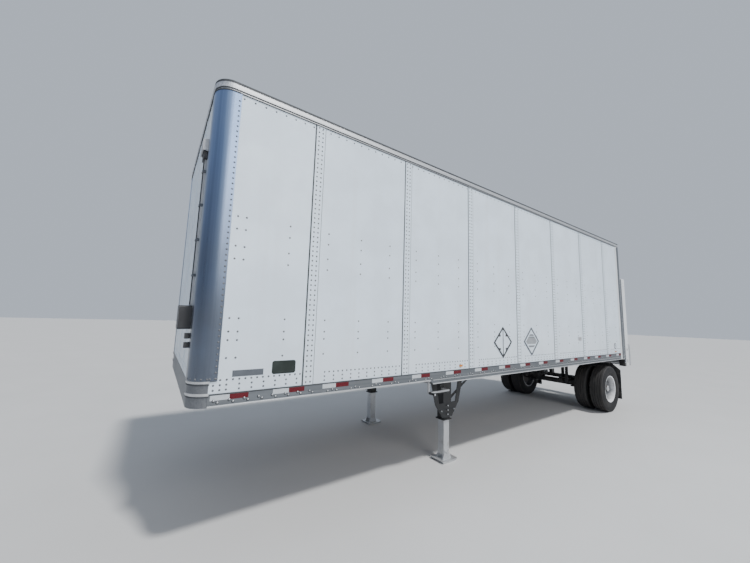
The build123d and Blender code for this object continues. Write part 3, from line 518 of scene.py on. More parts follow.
def tapeFinish(name, base, scuffed=0.3):
    # Reflective tape: a honeycomb of cells under a clear face, scuffed along its length
    look = Finish(name)
    comb = look.cells(330)
    scuffs = look.between(look.noise(40, 4, (0.3, 1, 1)), 0.55, 0.72)
    color = look.blend(look.between(comb, 0.25, 0.6), base, tuple(min(1, c * 1.25 + 0.02) for c in base))
    color = look.blend(scuffs * scuffed, color, (0.30, 0.27, 0.25))
    return look.set(color=color, rough=scuffs * 0.3 + 0.5, specular=0.15, normal=look.bump(comb, 0.0003, 0.4))


whitePanel = paint("whitePanel", (0.735, 0.835, 0.925), 0.34, 0.30, low=1.30, high=2.1, wave=0.9)
whiteSteel = paint("whiteSteel", (0.76, 0.78, 0.79), 0.5, 0.36, low=0.9, high=2.6, wave=0.2)
ventGrey = paint("ventGrey", (0.42, 0.43, 0.45), 0.4, 0.45, coat=0.0)
# Polished corner posts: the blue base tone is painted sky reflection, and the darkening below 1.6 m, fading out by
# 4.6 m, is painted reflection of the dark ground
postSkin = brushed(
    "postSkin", (0.31, 0.43, 0.66), (6, 6, 0.05), 0.22, 1.0, 0.12, 5.0, (1.6, 4.6, 0.85), (0.115, 0.122, 0.135)
)
railMetal = brushed("railMetal", (0.70, 0.71, 0.72), (0.06, 6, 6), 0.34, 0.85, 0.35)
sideRail = brushed("sideRail", (0.19, 0.205, 0.22), (0.06, 6, 6), 0.40, 0.8, 0.35)
castMetal = brushed("castMetal", (0.19, 0.20, 0.215), (3, 3, 3), 0.42, 0.8, 0.3, 20.0)
roofMetal = brushed("roofMetal", (0.68, 0.69, 0.70), (2, 0.2, 2), 0.40, 0.8, 0.35, 3.0)
deckMetal = brushed("deckMetal", (0.56, 0.57, 0.58), (2, 0.06, 2), 0.40, 0.85, 0.45)
# Rivet heads darker than their metal: grime, and painted shade for each head's small shadow
rivetGrimeAndShade = brushed("rivetGrimeAndShade", (0.14, 0.148, 0.16), (3, 3, 3), 0.5, 0.4, 0.5, 30.0)
blackSteel = chassisPaint("blackChassis", (0.022, 0.022, 0.023))
# Grey gear paint made almost black: painted shade for the gear under the body
shadeDarkGreySteel = chassisPaint("shadeDarkGreyGear", (0.013, 0.0135, 0.0145), 0.12, 0.1)
zinc = zincFinish()
tyreRubber = tyreFinish()
flapRubber = rubberFinish()
rimEnamel = rimFinish()
castIron = castFinish()
oakBoards = boardFinish()
amberLens = lensFinish("amberLens", (0.85, 0.30, 0.03))
redLens = lensFinish("redLens", (0.50, 0.012, 0.010))
blackPlastic = plasticFinish("blackPlastic", (0.022, 0.022, 0.024))
# Dark sealant, also used for painted shadow lines at the seams, rails, nose bands and bolt heads
sealantAndShadowLines = plasticFinish("sealantShadowLineFinish", (0.042, 0.045, 0.049), 0.6)
badgePlate = plasticFinish("badgePlate", (0.006, 0.013, 0.010), 0.6)
slateGrey = plasticFinish("slateGrey", (0.085, 0.095, 0.11), 0.5)
cardGrey = plasticFinish("cardGrey", (0.26, 0.275, 0.29), 0.5)
redTape = tapeFinish("redTape", (0.085, 0.0003, 0.005), 0.05)
whiteTape = tapeFinish("whiteTape", (0.42, 0.445, 0.465))
print("finishes made")

# Each slot of the record, its usual finish first
slotFinishes = {
    "white_panel": (whitePanel, whiteSteel),
    "bare_aluminium": (railMetal, sideRail, roofMetal, deckMetal, rivetGrimeAndShade),
    "polished_aluminium": (postSkin,),
    "black_steel": (blackSteel,),
    "grey_steel": (shadeDarkGreySteel,),
    "galvanised": (zinc,),
    "tyre_rubber": (tyreRubber,),
    "flap_rubber": (flapRubber,),
    "white_rim": (rimEnamel,),
    "cast_hub": (castIron,),
    "hardwood": (oakBoards,),
    "amber_lens": (amberLens,),
    "red_lens": (redLens,),
    "black_plastic": (blackPlastic, sealantAndShadowLines, badgePlate, slateGrey, cardGrey),
}
nodeFinish = {
    "roof": roofMetal,
    "corner_castings": castMetal,
    "bottom_rails": sideRail,
    "front_sill": castMetal,
    "front_vent": ventGrey,
    "gate_platform": deckMetal,
    "rear_posts": whiteSteel,
    "rear_header": whiteSteel,
    "rear_sill": whiteSteel,
    "gate_columns": whiteSteel,
}


def dressNodes():
    for entry in frame["record"]["subparts"]:
        node = nodes[entry["node"]]
        finish = nodeFinish.get(entry["node"], slotFinishes[entry["material_slot"]][0])
        node.data.materials.clear()
        node.data.materials.append(finish)
        smooth(node, 30)


# Rivets
rivet = {
    "radius": 0.0092, "height": 0.0043, "sides": 8, "rings": 4, "pitch": 0.05,
    "seamColumns": (0.027, 0.072), "seamHeights": (1.345, 4.005), "frontX": 0.235, "scuffTop": 1.427,
    "scuffRows": (1.386, 1.346), "scuffPitch": 0.103, "scuffFirst": 0.226, "topRow": 3.98, "topPitch": 0.1,
    "rearGap": 0.20, "studHeights": (1.607, 1.757, 1.83, 1.945, 2.468, 2.583, 2.74, 2.855),
    "studBehind": (0.20, 0.61, 1.02), "studAhead": (0.22, 0.63, 0.705), "postColumn": 0.195,
    "postPair": 0.155, "postFoot": 1.44, "postGap": 0.02,
}


def rivetHead(place, facing=(0, 1, 0), size=1.0):
    # A flattened dome, cut at the surface that it sits on
    clearAll()
    radius = rivet["radius"] * size
    bpy.ops.mesh.primitive_uv_sphere_add(segments=rivet["sides"], ring_count=rivet["rings"], radius=radius)
    head = bpy.context.object
    bpy.ops.object.mode_set(mode="EDIT")
    bpy.ops.mesh.select_all(action="SELECT")
    bpy.ops.mesh.bisect(plane_co=(0, 0, 0), plane_no=(0, 0, 1), use_fill=False, clear_inner=True)
    bpy.ops.object.mode_set(mode="OBJECT")
    head.scale = (1, 1, rivet["height"] / rivet["radius"])
    head.rotation_euler = Vector(facing).to_track_quat("Z", "X").to_euler()
    head.location = place
    return smooth(settle(head), 60)


def rivetRow(place, count, step, again=1, againStep=(0, 0, 0), facing=(0, 1, 0)):
    return repeat(repeat(rivetHead(place, facing), count, step), again, againStep)


def sideRivets():
    pitch, wide, top = rivet["pitch"], rivet["scuffPitch"], rivet["scuffTop"]
    nextPanel = (-seamPitch, 0, 0)
    lastPanel = (seamCount - 1) * seamPitch
    rows = []

    def along(x, height, count, step, panels=1):
        rows.append(rivetRow((x, panelY, height), count, (-step, 0, 0), panels, nextPanel))

    low, high = rivet["seamHeights"]
    count = int((high - low) / pitch) + 1
    for column in rivet["seamColumns"]:
        rows.append(rivetRow((seamX - column, coverY, low), count, (0, 0, pitch), seamCount, nextPanel))
    # The scuff band at the foot of the panels: a close row above two wide ones, the first and last panels short
    frontX = noseX - rivet["frontX"]
    scuffX = seamX - rivet["scuffFirst"]
    lastX = scuffX - lastPanel
    along(frontX, top, 15, pitch)
    for height in rivet["scuffRows"]:
        along(frontX, height, 2, -pitch)
        along(frontX - pitch, height, 7, wide)
    along(scuffX, top, 20, wide / 2, seamCount - 1)
    along(lastX, top, 12, wide / 2)
    for height in rivet["scuffRows"]:
        along(scuffX, height, 10, wide, seamCount - 1)
        along(lastX, height, 6, wide)
    along(frontX, rivet["topRow"], int((frontX - rearX - rivet["rearGap"]) / rivet["topPitch"]), rivet["topPitch"])
    for height in rivet["studHeights"]:
        for offset in rivet["studBehind"]:
            along(seamX - offset, height, seamCount - 1, seamPitch)
        for offset in rivet["studAhead"]:
            along(seamX + offset, height, 1, 0)
        for offset in rivet["studBehind"][:2]:
            along(seamX - lastPanel - offset, height, 1, 0)
    fit("side_rivets", rows, rivetGrimeAndShade, both=True)


def postRivets():
    low, pitch = rivet["postFoot"], rivet["pitch"]
    count = int((topRailLow - rivet["postGap"] - low) / pitch)
    rows = [rivetRow((noseX - rivet["postColumn"], sideY, low), count, (0, 0, pitch))]
    rows.append(rivetRow((noseX - rivet["postPair"], sideY, low), 2, (-pitch, 0, 0)))
    fit("post_rivets", rows, rivetGrimeAndShade, both=True)


# Dark strips along both edges of every seam cover, and where the panels meet the rails: sealant, with painted
# shadow lines of the joints and rail edges
seam = {
    "coverWidth": 0.100, "shadowLine": 0.0155, "backShadowLine": 0.006, "proud": 0.0012, "sunk": 0.0005,
    "railShadowLine": 0.011, "topShadowLine": 0.009, "topFront": 0.20, "lap": 0.001,
}


def seamShadowLines():
    inner, outer, lap = panelY - seam["sunk"], sideY + seam["lap"], seam["lap"]
    strips = []
    for offset, width in ((0.0, seam["shadowLine"]), (-seam["coverWidth"] - seam["backShadowLine"], seam["backShadowLine"])):
        low = (seamX + offset, inner, railTop + lap)
        high = (seamX + offset + width, panelY + seam["proud"], topRailLow)
        strips.append(repeat(block(low, high, 0.0008), seamCount, (-seamPitch, 0, 0)))
    # Painted shadows: the dark line where the panels meet the bottom rail, and the one under the top rail
    strips.append(block((railEnd, inner, railTop - seam["railShadowLine"]), (cornerX, outer, railTop + lap), 0.0005))
    low = (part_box("side_panels")[0].x, inner, topRailLow - seam["topShadowLine"])
    strips.append(block(low, (noseX - seam["topFront"], outer, topRailLow + lap), 0.001))
    fit("seam_shadow_lines", strips, sealantAndShadowLines, both=True)


# Reflective tape on the bottom rails: distance of each red strip's front edge from the first seam
tape = {
    "redFronts": (
        0.651, 0.136, -0.359, -0.963, -1.557, -2.157, -2.763, -3.357,
        -3.95, -4.543, -5.15, -5.76, -6.367, -6.93, -7.55, -8.17,
    ),
    "length": 0.153, "whiteGap": 0.004, "back": 0.002, "height": 0.042, "top": 1.307, "thickness": 0.0009,
}


def sideTape():
    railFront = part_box("bottom_rails")[1].x
    strips = {"red": [], "white": []}
    for front in tape["redFronts"]:
        for name, start, gap in (("red", front, 0), ("white", front + tape["length"], tape["whiteGap"])):
            low = (seamX + start - tape["length"] + tape["back"], sideY, tape["top"] - tape["height"])
            high = (low[0] + (tape["length"] - gap), sideY + tape["thickness"], tape["top"])
            if low[0] > railEnd and high[0] < railFront:
                strips[name].append(block(low, high, 0.0004))
    for name, finish in (("red", redTape), ("white", whiteTape)):
        fit(f"{name}_tape", strips[name], finish, both=True)


# Bolts through the bottom rails into the ends of the crossmembers
bolts = {
    "size": 0.95, "washerShadow": 0.0150, "washerShadowHeight": 0.0012, "washerShadowShift": 0.003,
    "front": {"start": 4.727, "pitch": 0.1205, "count": 8, "heads": ((0.0, 1.264), (-0.030, 1.248))},
    "back": {
        "start": 3.635, "pitch": 0.2735, "count": 31, "heads": ((0.051, 1.239), (0.0, 1.252), (-0.051, 1.239)),
    },
}


def hexHead(place, radius, height, facing=(0, 1, 0)):
    clearAll()
    facing = Vector(facing)
    turn = facing.to_track_quat("Z", "X").to_euler()
    spot = Vector(place) + facing * (height / 2)
    sizes = {"radius1": radius, "radius2": radius * 0.9, "depth": height}
    bpy.ops.mesh.primitive_cone_add(vertices=6, location=spot, rotation=turn, **sizes)
    return settle(bpy.context.object)


def railBolts():
    rows = []
    washerShadows = []
    for group in (bolts["front"], bolts["back"]):
        step = (-group["pitch"], 0, 0)
        for offset, height in group["heads"]:
            x = group["start"] + offset
            rows.append(repeat(rivetHead((x, sideY, height), (0, 1, 0), bolts["size"]), group["count"], step))
            # Each dark washer is shifted down and ahead of its head: a washer carrying the head's painted shadow
            spot = (x + bolts["washerShadowShift"], sideY, height - bolts["washerShadowShift"])
            washerShadows.append(repeat(hexHead(spot, bolts["washerShadow"], bolts["washerShadowHeight"]), group["count"], step))
    fit("bolt_washer_shadows", washerShadows, sealantAndShadowLines, both=True)
    fit("rail_bolts", rows, zinc, both=True)


# Lips and ribs of the extruded rails
railRib = {
    "proud": 0.0040, "lip": 0.014, "stepX": 2.690, "stepGap": 0.045, "stepRise": 0.045,
    "groove": (0.004, 0.010), "grooveGap": 0.05, "grooveProud": 0.002, "topLip": (0.021, 0.068, 0.0045),
}


def railRibs():
    stepX = noseX - railRib["stepX"]
    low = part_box("bottom_rails")[0].z
    frontLow = low + railRib["stepRise"]
    strips = []
    for start, end, base in ((cornerX, stepX, frontLow), (stepX - railRib["stepGap"], railEnd, low)):
        strips.append(block((end, sideY, base), (start, sideY + railRib["proud"], base + railRib["lip"])))
    base, top = railRib["groove"]
    end = (stepX - railRib["grooveGap"], sideY + railRib["grooveProud"], frontLow + top)
    strips.append(block((railEnd, sideY, frontLow + base), end, 0.0008))
    fit("rail_ribs", strips, railMetal, both=True)


def topRailRibs():
    base, top, proud = railRib["topLip"]
    low, high = topRailLow + base, topRailLow + top
    strips = [block((rearX, sideY, low), (cornerX, sideY + proud, high)), noseBand(low, high, proud)]
    fit("top_rail_ribs", strips, railMetal, both=True)


# Roof: the bows show through the sheet as shallow ridges, and rivets hold it along both sides
roof = {
    "front": 0.35, "bows": 15, "bowPitch": 0.610, "bowHalf": 0.019, "bowProud": 0.0018, "bowInset": 0.03,
    "rivetY": 1.272, "rivetPitch": 0.102,
}


def roofDress():
    low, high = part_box("roof")
    start = high.x - roof["front"]
    half, inset = roof["bowHalf"], roof["bowInset"]
    corner = (start - half, low.y + inset, high.z - 0.001)
    bow = block(corner, (start + half, high.y - inset, high.z + roof["bowProud"]), 0.0015)
    fit("roof_bows", [repeat(bow, roof["bows"], (-roof["bowPitch"], 0, 0))], roofMetal)
    count = int((start - low.x) / roof["rivetPitch"])
    row = rivetRow((start, roof["rivetY"], high.z), count, (-roof["rivetPitch"], 0, 0), facing=(0, 0, 1))
    fit("roof_rivets", [row], rivetGrimeAndShade, both=True)


# Bands that wrap round the nose: dark bands painted as shadow lines under the rails and ribs, ribs of the
# castings, the foot of the post
noseArc = {
    "steps": 12, "depth": 0.010, "postEnd": 0.200, "castingEnd": 0.155, "railShadowLine": (-0.010, 0.001, 0.0035),
    "railGroove": (0.008, 0.0205, 0.0015), "roofBand": (0.023, 0.0030), "castingRibs": (1.414, 1.316),
    "castingGrooves": (1.394, 1.298), "grooveHalf": 0.004, "grooveProud": 0.0012,
    "castingShadowLine": (-0.001, 0.003, 0.002, 0.202, 0.16), "ribHalf": 0.010,
    "ribSteps": ((1.0, 0.0015), (0.72, 0.0032), (0.4, 0.0046)), "footRivets": 5,
}


def noseBand(low, high, proud, back=postRadius, front=0.0):
    # From the side of the vehicle round the corner to the middle of the front
    rings = []
    for reach in (postRadius + proud, postRadius - noseArc["depth"]):
        arc = [(noseX - back, cornerY + reach)] if back > postRadius else []
        for step in range(noseArc["steps"] + 1):
            angle = math.pi / 2 * (1 - step / noseArc["steps"])
            arc.append((cornerX + reach * math.cos(angle), cornerY + reach * math.sin(angle)))
        arc.append((cornerX + reach, front))
        rings.append(arc)
    return outline(rings[0] + rings[1][::-1], "XY", low, high - low)


def noseDress():
    # Dark bands round the nose are painted shadow lines: under the top rail, in its grooves, at the roof edge and
    # under the casting ribs
    base, top, proud = noseArc["railShadowLine"]
    strips = [noseBand(topRailLow + base, topRailLow + top, proud, noseArc["postEnd"])]
    base, top, proud = noseArc["railGroove"]
    drop, bandProud = noseArc["roofBand"]
    for low, high, out in ((topRailLow + base, topRailLow + top, proud), (roofZ - drop, roofZ, bandProud)):
        strips.append(noseBand(low, high, out))
        strips.append(block((rearX, sideY, low), (cornerX, sideY + out, high), 0))
    end, half = noseArc["castingEnd"], noseArc["grooveHalf"]
    for height in noseArc["castingGrooves"]:
        strips.append(noseBand(height - half, height + half, noseArc["grooveProud"], end, sideY - end))
    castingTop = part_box("corner_castings")[1].z
    base, top, proud, back, inner = noseArc["castingShadowLine"]
    strips.append(noseBand(castingTop + base, castingTop + top, proud, back, sideY - inner))
    fit("nose_shadow_lines", strips, sealantAndShadowLines, both=True)
    half = noseArc["ribHalf"]
    ribs = []
    for height in noseArc["castingRibs"]:
        for share, proud in noseArc["ribSteps"]:
            ribs.append(noseBand(height - half * share, height + half * share, proud, end, sideY - end))
    fit("casting_ribs", ribs, railMetal, both=True)
    foot = []
    for step in range(noseArc["footRivets"]):
        angle = math.pi / 2 * (1 - (step + 0.3) / noseArc["footRivets"])
        out = (math.cos(angle), math.sin(angle), 0)
        spot = (cornerX + postRadius * out[0], cornerY + postRadius * out[1], rivet["postFoot"])
        foot.append(rivetHead(spot, out))
    fit("post_foot_rivets", foot, rivetGrimeAndShade, both=True)


# Blank plates, placard holders and the small fittings on the left side
plate = {
    "name_bar": (0.385, 0.645, 1.446, 1.500), "rating_plate": (0.085, 0.310, 1.443, 1.5625),
    "notice_plate": (-6.160, -6.000, 1.650, 1.730), "thickness": 0.0012, "corner": 0.020,
}


def sidePlates():
    for name, finish in (("name_bar", slateGrey), ("rating_plate", badgePlate), ("notice_plate", railMetal)):
        back, ahead, base, top = plate[name]
        piece = block((seamX + back, panelY, base), (seamX + ahead, panelY + plate["thickness"], top), 0)
        if name == "rating_plate":
            take(piece)
            bpy.ops.object.mode_set(mode="EDIT")
            pick(piece, "edges", lambda edge: abs(edge.verts[0].co.y - edge.verts[1].co.y) > 0.0005)
            bpy.ops.mesh.bevel(offset=plate["corner"], segments=4)
            bpy.ops.object.mode_set(mode="OBJECT")
        fit(name, [piece], finish)


cap = {
    "place": (-7.990, 1.500), "radius": 0.050, "ring": 0.068, "steps": 32,
    "lid": ((0, 1), (0.003, 1), (0.006, 0.9), (0.006, 0.78), (0.004, 0.72), (0.0045, 0.0)),
}


def sideCap():
    x, z = cap["place"]
    radius, ring = cap["radius"], cap["ring"]
    lid = [(reach, radius * share) for reach, share in cap["lid"]]
    edge = ((0, ring), (0.002, ring), (0.003, ring - 0.004), (0.003, radius + 0.001), (0, radius + 0.001))
    for name, profile, finish in (("side_cap", lid, whitePanel), ("side_cap_ring", edge, sealantAndShadowLines)):
        fit(name, [smooth(turned(profile, (seamX + x, panelY, z), cap["steps"]))], finish)


placard = {
    "centres": (-3.325, -4.173), "height": 1.669, "half": 0.243, "cardHalf": 0.204, "rim": 0.030, "holder": 0.0075,
    "floor": 0.002, "card": 0.0035, "divider": (0.008, 0.003, 0.0065), "clips": (0.090, 0.105),
    "clip": (0.022, 0.016, 0.0070), "bands": ((0.016, 0.060), (0.103, 0.018), (-0.085, 0.016)),
    "bandReach": 0.86, "trimReach": 0.80, "trimLower": 0.004, "trim": (0.012, 0.003, 0.0068),
}


def diamond(x, z, half, depth):
    return outline(((x - half, z), (x, z - half), (x + half, z), (x, z + half)), "XZ", panelY, depth)


def cardBand(x, z, reach, level, half):
    # A strip across a diamond card, its ends cut to the card's edges
    low, high = level - half, level + half
    heights = [high, low] if low * high > 0 else [high, 0.0, low]
    right = [(x + reach - abs(height), z + height) for height in heights]
    left = [(x - reach + abs(height), z + height) for height in reversed(heights)]
    return soften(outline(right + left, "XZ", panelY + placard["floor"], placard["card"]), 0.0008)


def placardHolder(x, z):
    # A diamond with its face sunk inside the rim
    holder = diamond(x, z, placard["half"], placard["holder"])
    take(holder)
    bpy.ops.object.mode_set(mode="EDIT")
    pick(holder, "faces", lambda face: face.normal.y > 0.9)
    bpy.ops.mesh.inset(thickness=placard["rim"])
    bpy.ops.transform.translate(value=(0, placard["floor"] - placard["holder"], 0))
    bpy.ops.object.mode_set(mode="OBJECT")
    return soften(holder, 0.0012)


def dividerClips(x, z, inner):
    half, start, end = placard["divider"]
    parts = [block((x - half, panelY + start, z - inner), (x + half, panelY + end, z + inner), 0.001)]
    across, up = placard["clips"]
    wide, tall, proud = placard["clip"]
    for lean in (-1, 1):
        for rise in (-1, 1):
            cx, cz = x + lean * across, z + rise * up
            low = (cx - wide, panelY + placard["floor"], cz - tall)
            parts.append(block(low, (cx + wide, panelY + proud, cz + tall), 0.002))
    return parts


def cardTrims(x, z, inner):
    tall, start, end = placard["trim"]
    trims = []
    for level, half in placard["bands"]:
        edge = level + half if level > 0 else level + half - placard["trimLower"]
        reach = inner * placard["trimReach"] - abs(edge)
        low = (x - reach, panelY + start, z + edge - tall)
        trims.append(block(low, (x + reach, panelY + end, z + edge), 0.0008))
    return trims


def placards():
    z = placard["height"]
    inner = placard["cardHalf"]
    first, second = (seamX + offset for offset in placard["centres"])
    fit("placard_holder_1", [placardHolder(first, z)], blackPlastic)
    fit("placard_card_1", [diamond(first, z, inner, placard["card"])], whitePanel)
    fit("placard_flips_1", dividerClips(first, z, inner), blackPlastic)
    fit("placard_holder_2", [placardHolder(second, z)], slateGrey)
    fit("placard_card_2", [diamond(second, z, inner, placard["card"])], whitePanel)
    reach = inner * placard["bandReach"]
    flips = [cardBand(second, z, reach, level, half) for level, half in placard["bands"]]
    fit("placard_trims", cardTrims(second, z, inner), slateGrey)
    fit("placard_flips_2", flips, cardGrey)


# Tyres: ribbed tread, rounded shoulders and side walls
def tyreProfile():
    radius = tyre["radius"]
    tread = []
    for groove in tyre["grooves"]:
        for offset, drop in ((-1.15, 0), (-0.75, 1), (0.75, 1), (1.15, 0)):
            y = groove + offset * tyre["grooveHalf"]
            crown = radius - tyre["crownDrop"] * (y / tyre["treadHalf"]) ** 2
            tread.append((y, crown - drop * tyre["grooveDepth"]))
    side = [(y, radius - drop) for y, drop in tyre["side"]]
    return [(-y, reach) for y, reach in reversed(side)] + tread + side


def tyres():
    for side in ("left", "right"):
        for place in ("outer", "inner"):
            node = f"tyre_{place}_{side}"
            piece = smooth(turned(tyreProfile(), middle(node), tyre["steps"]), 32)
            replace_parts(piece, node)
            fit(f"{node}_tread", [piece], tyreRubber, body=f"wheels_{side}")


# Wheels: pressed steel discs, dished, with hand holes
wheel = {
    "flange": 0.2995, "flangeHalf": 0.1175, "seat": 0.2855, "wall": 0.009, "bore": 0.1106, "disc": 0.0106,
    "landing": 0.062, "twinHalf": 0.168, "steps": 80, "handHoles": 5, "handCircle": 0.236,
    "handRadius": 0.027, "handReach": 0.075,
}


def rimProfile(sign):
    # Distance from the rim's middle and radius. Both discs meet between the twins, below 0 for the outer wheel.
    half = wheel["flangeHalf"]
    seat = wheel["seat"]
    inside = seat - wheel["wall"]
    mid = -wheel["twinHalf"]
    face = mid + wheel["disc"]
    rise = wheel["landing"] - half
    points = (
        (half, wheel["flange"]),
        (half - 0.006, wheel["flange"] + 0.0003),
        (half - 0.012, seat + 0.004),
        (half - 0.030, seat),
        (-half + 0.030, seat),
        (-half + 0.012, seat + 0.004),
        (-half + 0.006, wheel["flange"] + 0.0003),
        (-half, wheel["flange"]),
        (-half + 0.002, inside + 0.004),
        (rise - 0.020, inside),
        (rise - 0.022, inside - 0.010),
        (mid + 0.030, 0.232),
        (mid + 0.0035, 0.210),
        (mid + 0.0002, 0.196),
        (mid + 0.0002, wheel["bore"]),
        (face, wheel["bore"]),
        (face, 0.192),
        (face + 0.004, 0.204),
        (face + 0.028, 0.226),
        (rise - 0.008, inside - 0.008),
        (rise + 0.004, inside),
        (half - 0.003, inside + 0.004),
    )
    return [(sign * y, radius) for y, radius in points]


def wheelRims():
    for side, sign in (("left", 1), ("right", -1)):
        x, y, z = middle(f"rims_{side}")
        rings = []
        for place in (sign, -sign):
            rings.append(turned(rimProfile(place), (x, y + place * wheel["twinHalf"], z), wheel["steps"]))
        rims = merge(f"twin_rims_{side}", rings)
        near, far = y - wheel["handReach"], y + wheel["handReach"]
        spots = circle(wheel["handHoles"], (x, y, z), wheel["handCircle"])
        cutter = merge("cutter", [rod((cx, near, cz), (cx, far, cz), wheel["handRadius"], 20) for cx, cz in spots])
        modify(rims, "BOOLEAN", operation="DIFFERENCE", object=cutter, solver="EXACT")
        bpy.data.objects.remove(cutter)
        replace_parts(smooth(rims, 35), f"rims_{side}")
        wear(rims, rimEnamel, f"wheels_{side}")


# Hubs: a machined cap with its bolts, and the studs' ends in the wheel nuts
hub = {
    "capRadius": 0.060,
    "cap": (
        (-0.004, 1.12), (0.002, 1.12), (0.004, 1.0), (0.007, 0.82),
        (0.009, 0.80), (0.0095, 0.30), (0.006, 0.26), (0.006, 0.0),
    ),
    "capSteps": 40, "capBolts": 6, "capBoltCircle": 0.064, "capBolt": (0.0065, 0.004), "studs": 10,
    "studCircle": 0.1429, "studRadius": 0.011, "studReach": (0.030, 0.052), "nutBase": 0.9863,
}


def hubDress():
    for side, sign in (("left", 1), ("right", -1)):
        low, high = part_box(f"hub_{side}")
        face = middle(f"hub_{side}")
        face[1] = high.y if sign > 0 else low.y
        profile = [(sign * reach, hub["capRadius"] * share) for reach, share in hub["cap"]]
        pieces = [smooth(turned(profile, face, hub["capSteps"]))]
        for cx, cz in circle(hub["capBolts"], face, hub["capBoltCircle"]):
            pieces.append(hexHead((cx, face[1], cz), *hub["capBolt"], (0, sign, 0)))
        start, end = (sign * (hub["nutBase"] + reach) for reach in hub["studReach"])
        for cx, cz in circle(hub["studs"], face, hub["studCircle"]):
            pieces.append(rod((cx, start, cz), (cx, end, cz), hub["studRadius"], 10, 0.0015))
        fit(f"hub_fittings_{side}", pieces, zinc, body=f"wheels_{side}")


# Landing gear: bolts of the wings, pins of the feet, gearbox cover and the crank's grip
landing = {
    "wingBolts": 5, "wingPitch": 0.130, "wingDrop": 0.030, "lowRow": 0.700, "middleBolts": (0.640, 0.760),
    "bolt": (0.011, 0.008), "footInset": 0.125, "footHalf": 0.066, "pinHeight": 0.110, "pin": 0.016,
    "gear": (0.111, 1.010), "gearHalf": (0.040, 0.065), "gearY": (0.985, 0.997),
    "gearBolts": (0.030, 0.052), "gearBolt": (0.006, 0.004), "gripInset": 0.012,
    "grip": (
        (-0.104, 0.0150), (-0.100, 0.0168), (-0.085, 0.0172), (-0.050, 0.0158),
        (-0.015, 0.0172), (-0.004, 0.0168), (0.0, 0.0150),
    ),
}


def landingDress():
    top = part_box("landing_legs")[1]
    legX = middle("landing_feet")[0]
    last = landing["wingBolts"] - 1
    spots = []
    for index in range(landing["wingBolts"]):
        x = legX + (index - last / 2) * landing["wingPitch"]
        spots.append((x, top.z - landing["wingDrop"]))
        if index not in (0, last):
            spots.append((x, landing["lowRow"]))
    spots += [(legX, height) for height in landing["middleBolts"]]
    pieces = [hexHead((x, top.y, height), *landing["bolt"]) for x, height in spots]
    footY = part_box("landing_feet")[1].y - landing["footInset"]
    for sign in (-1, 1):
        start = (legX, footY + sign * landing["footHalf"], landing["pinHeight"])
        end = (legX, start[1] + sign * landing["pin"], landing["pinHeight"])
        pieces.append(rod(start, end, landing["pin"], 14, 0.002))
    fit("landing_bolts", pieces, zinc, both=True)
    x, z = legX + landing["gear"][0], landing["gear"][1]
    wide, tall = landing["gearHalf"]
    inner, outer = landing["gearY"]
    across, up = landing["gearBolts"]
    pieces = [block((x - wide, inner, z - tall), (x + wide, outer, z + tall), 0.006)]
    for dx in (-across, across):
        for dz in (-up, up):
            pieces.append(hexHead((x + dx, outer, z + dz), *landing["gearBolt"]))
    fit("gearbox_cover", pieces, shadeDarkGreySteel)
    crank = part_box("landing_shaft")[1]
    grip = turned(landing["grip"], (crank.x - landing["gripInset"], crank.y, z), 20)
    fit("crank_grip", [smooth(grip)], blackPlastic)


# Underside: the springs' bands and bolts, the tank's straps and plugs, the chambers' clamps and rods
under = {
    "springHalf": 0.038, "bands": (-0.330, 0.330), "bandHalf": 0.015, "bandProud": 0.004,
    "bandHeights": (0.604, 0.664), "clamp": (0.0725, 0.053), "clampNut": (0.014, 0.014),
    "clampEnd": (0.010, 0.030), "straps": (0.28, 0.72), "strapHalf": 0.020, "strapSides": 28,
    "plug": ((0, 0.020), (0.006, 0.018), (0.012, 0.012), (0.012, 0.0)), "plugDrop": 0.05, "chamber": 0.078,
    "chamberHalf": 0.075,
    "chamberClamp": (
        (-0.010, 0.078), (-0.010, 0.088), (-0.004, 0.091), (0.004, 0.091), (0.010, 0.088), (0.010, 0.078),
    ),
    "chamberDome": ((0.0, 0.078), (0.010, 0.072), (0.018, 0.050), (0.022, 0.0)), "pushRod": (0.075, 0.135),
}


def springDress():
    low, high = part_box("leaf_springs")
    axleX = middle("leaf_springs")[0]
    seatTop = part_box("spring_seats")[1].z
    half, reach = under["bandHalf"], under["springHalf"]
    foot, top = under["bandHeights"]
    start, end = under["clampEnd"]
    across, out = under["clamp"]
    pieces = []
    for y in (high.y - reach, low.y + reach):
        wide = reach + under["bandProud"]
        for offset in under["bands"]:
            x = axleX + offset
            pieces.append(block((x - half, y - wide, foot), (x + half, y + wide, top), 0.003))
        for dx in (-across, across):
            for dy in (-out, out):
                x, side = axleX + dx, y + dy
                pieces.append(hexHead((x, side, seatTop), *under["clampNut"], (0, 0, 1)))
                pieces.append(rod((x, side, seatTop + start), (x, side, seatTop + end), 0.008, 10))
    fit("spring_fittings", pieces, blackSteel)


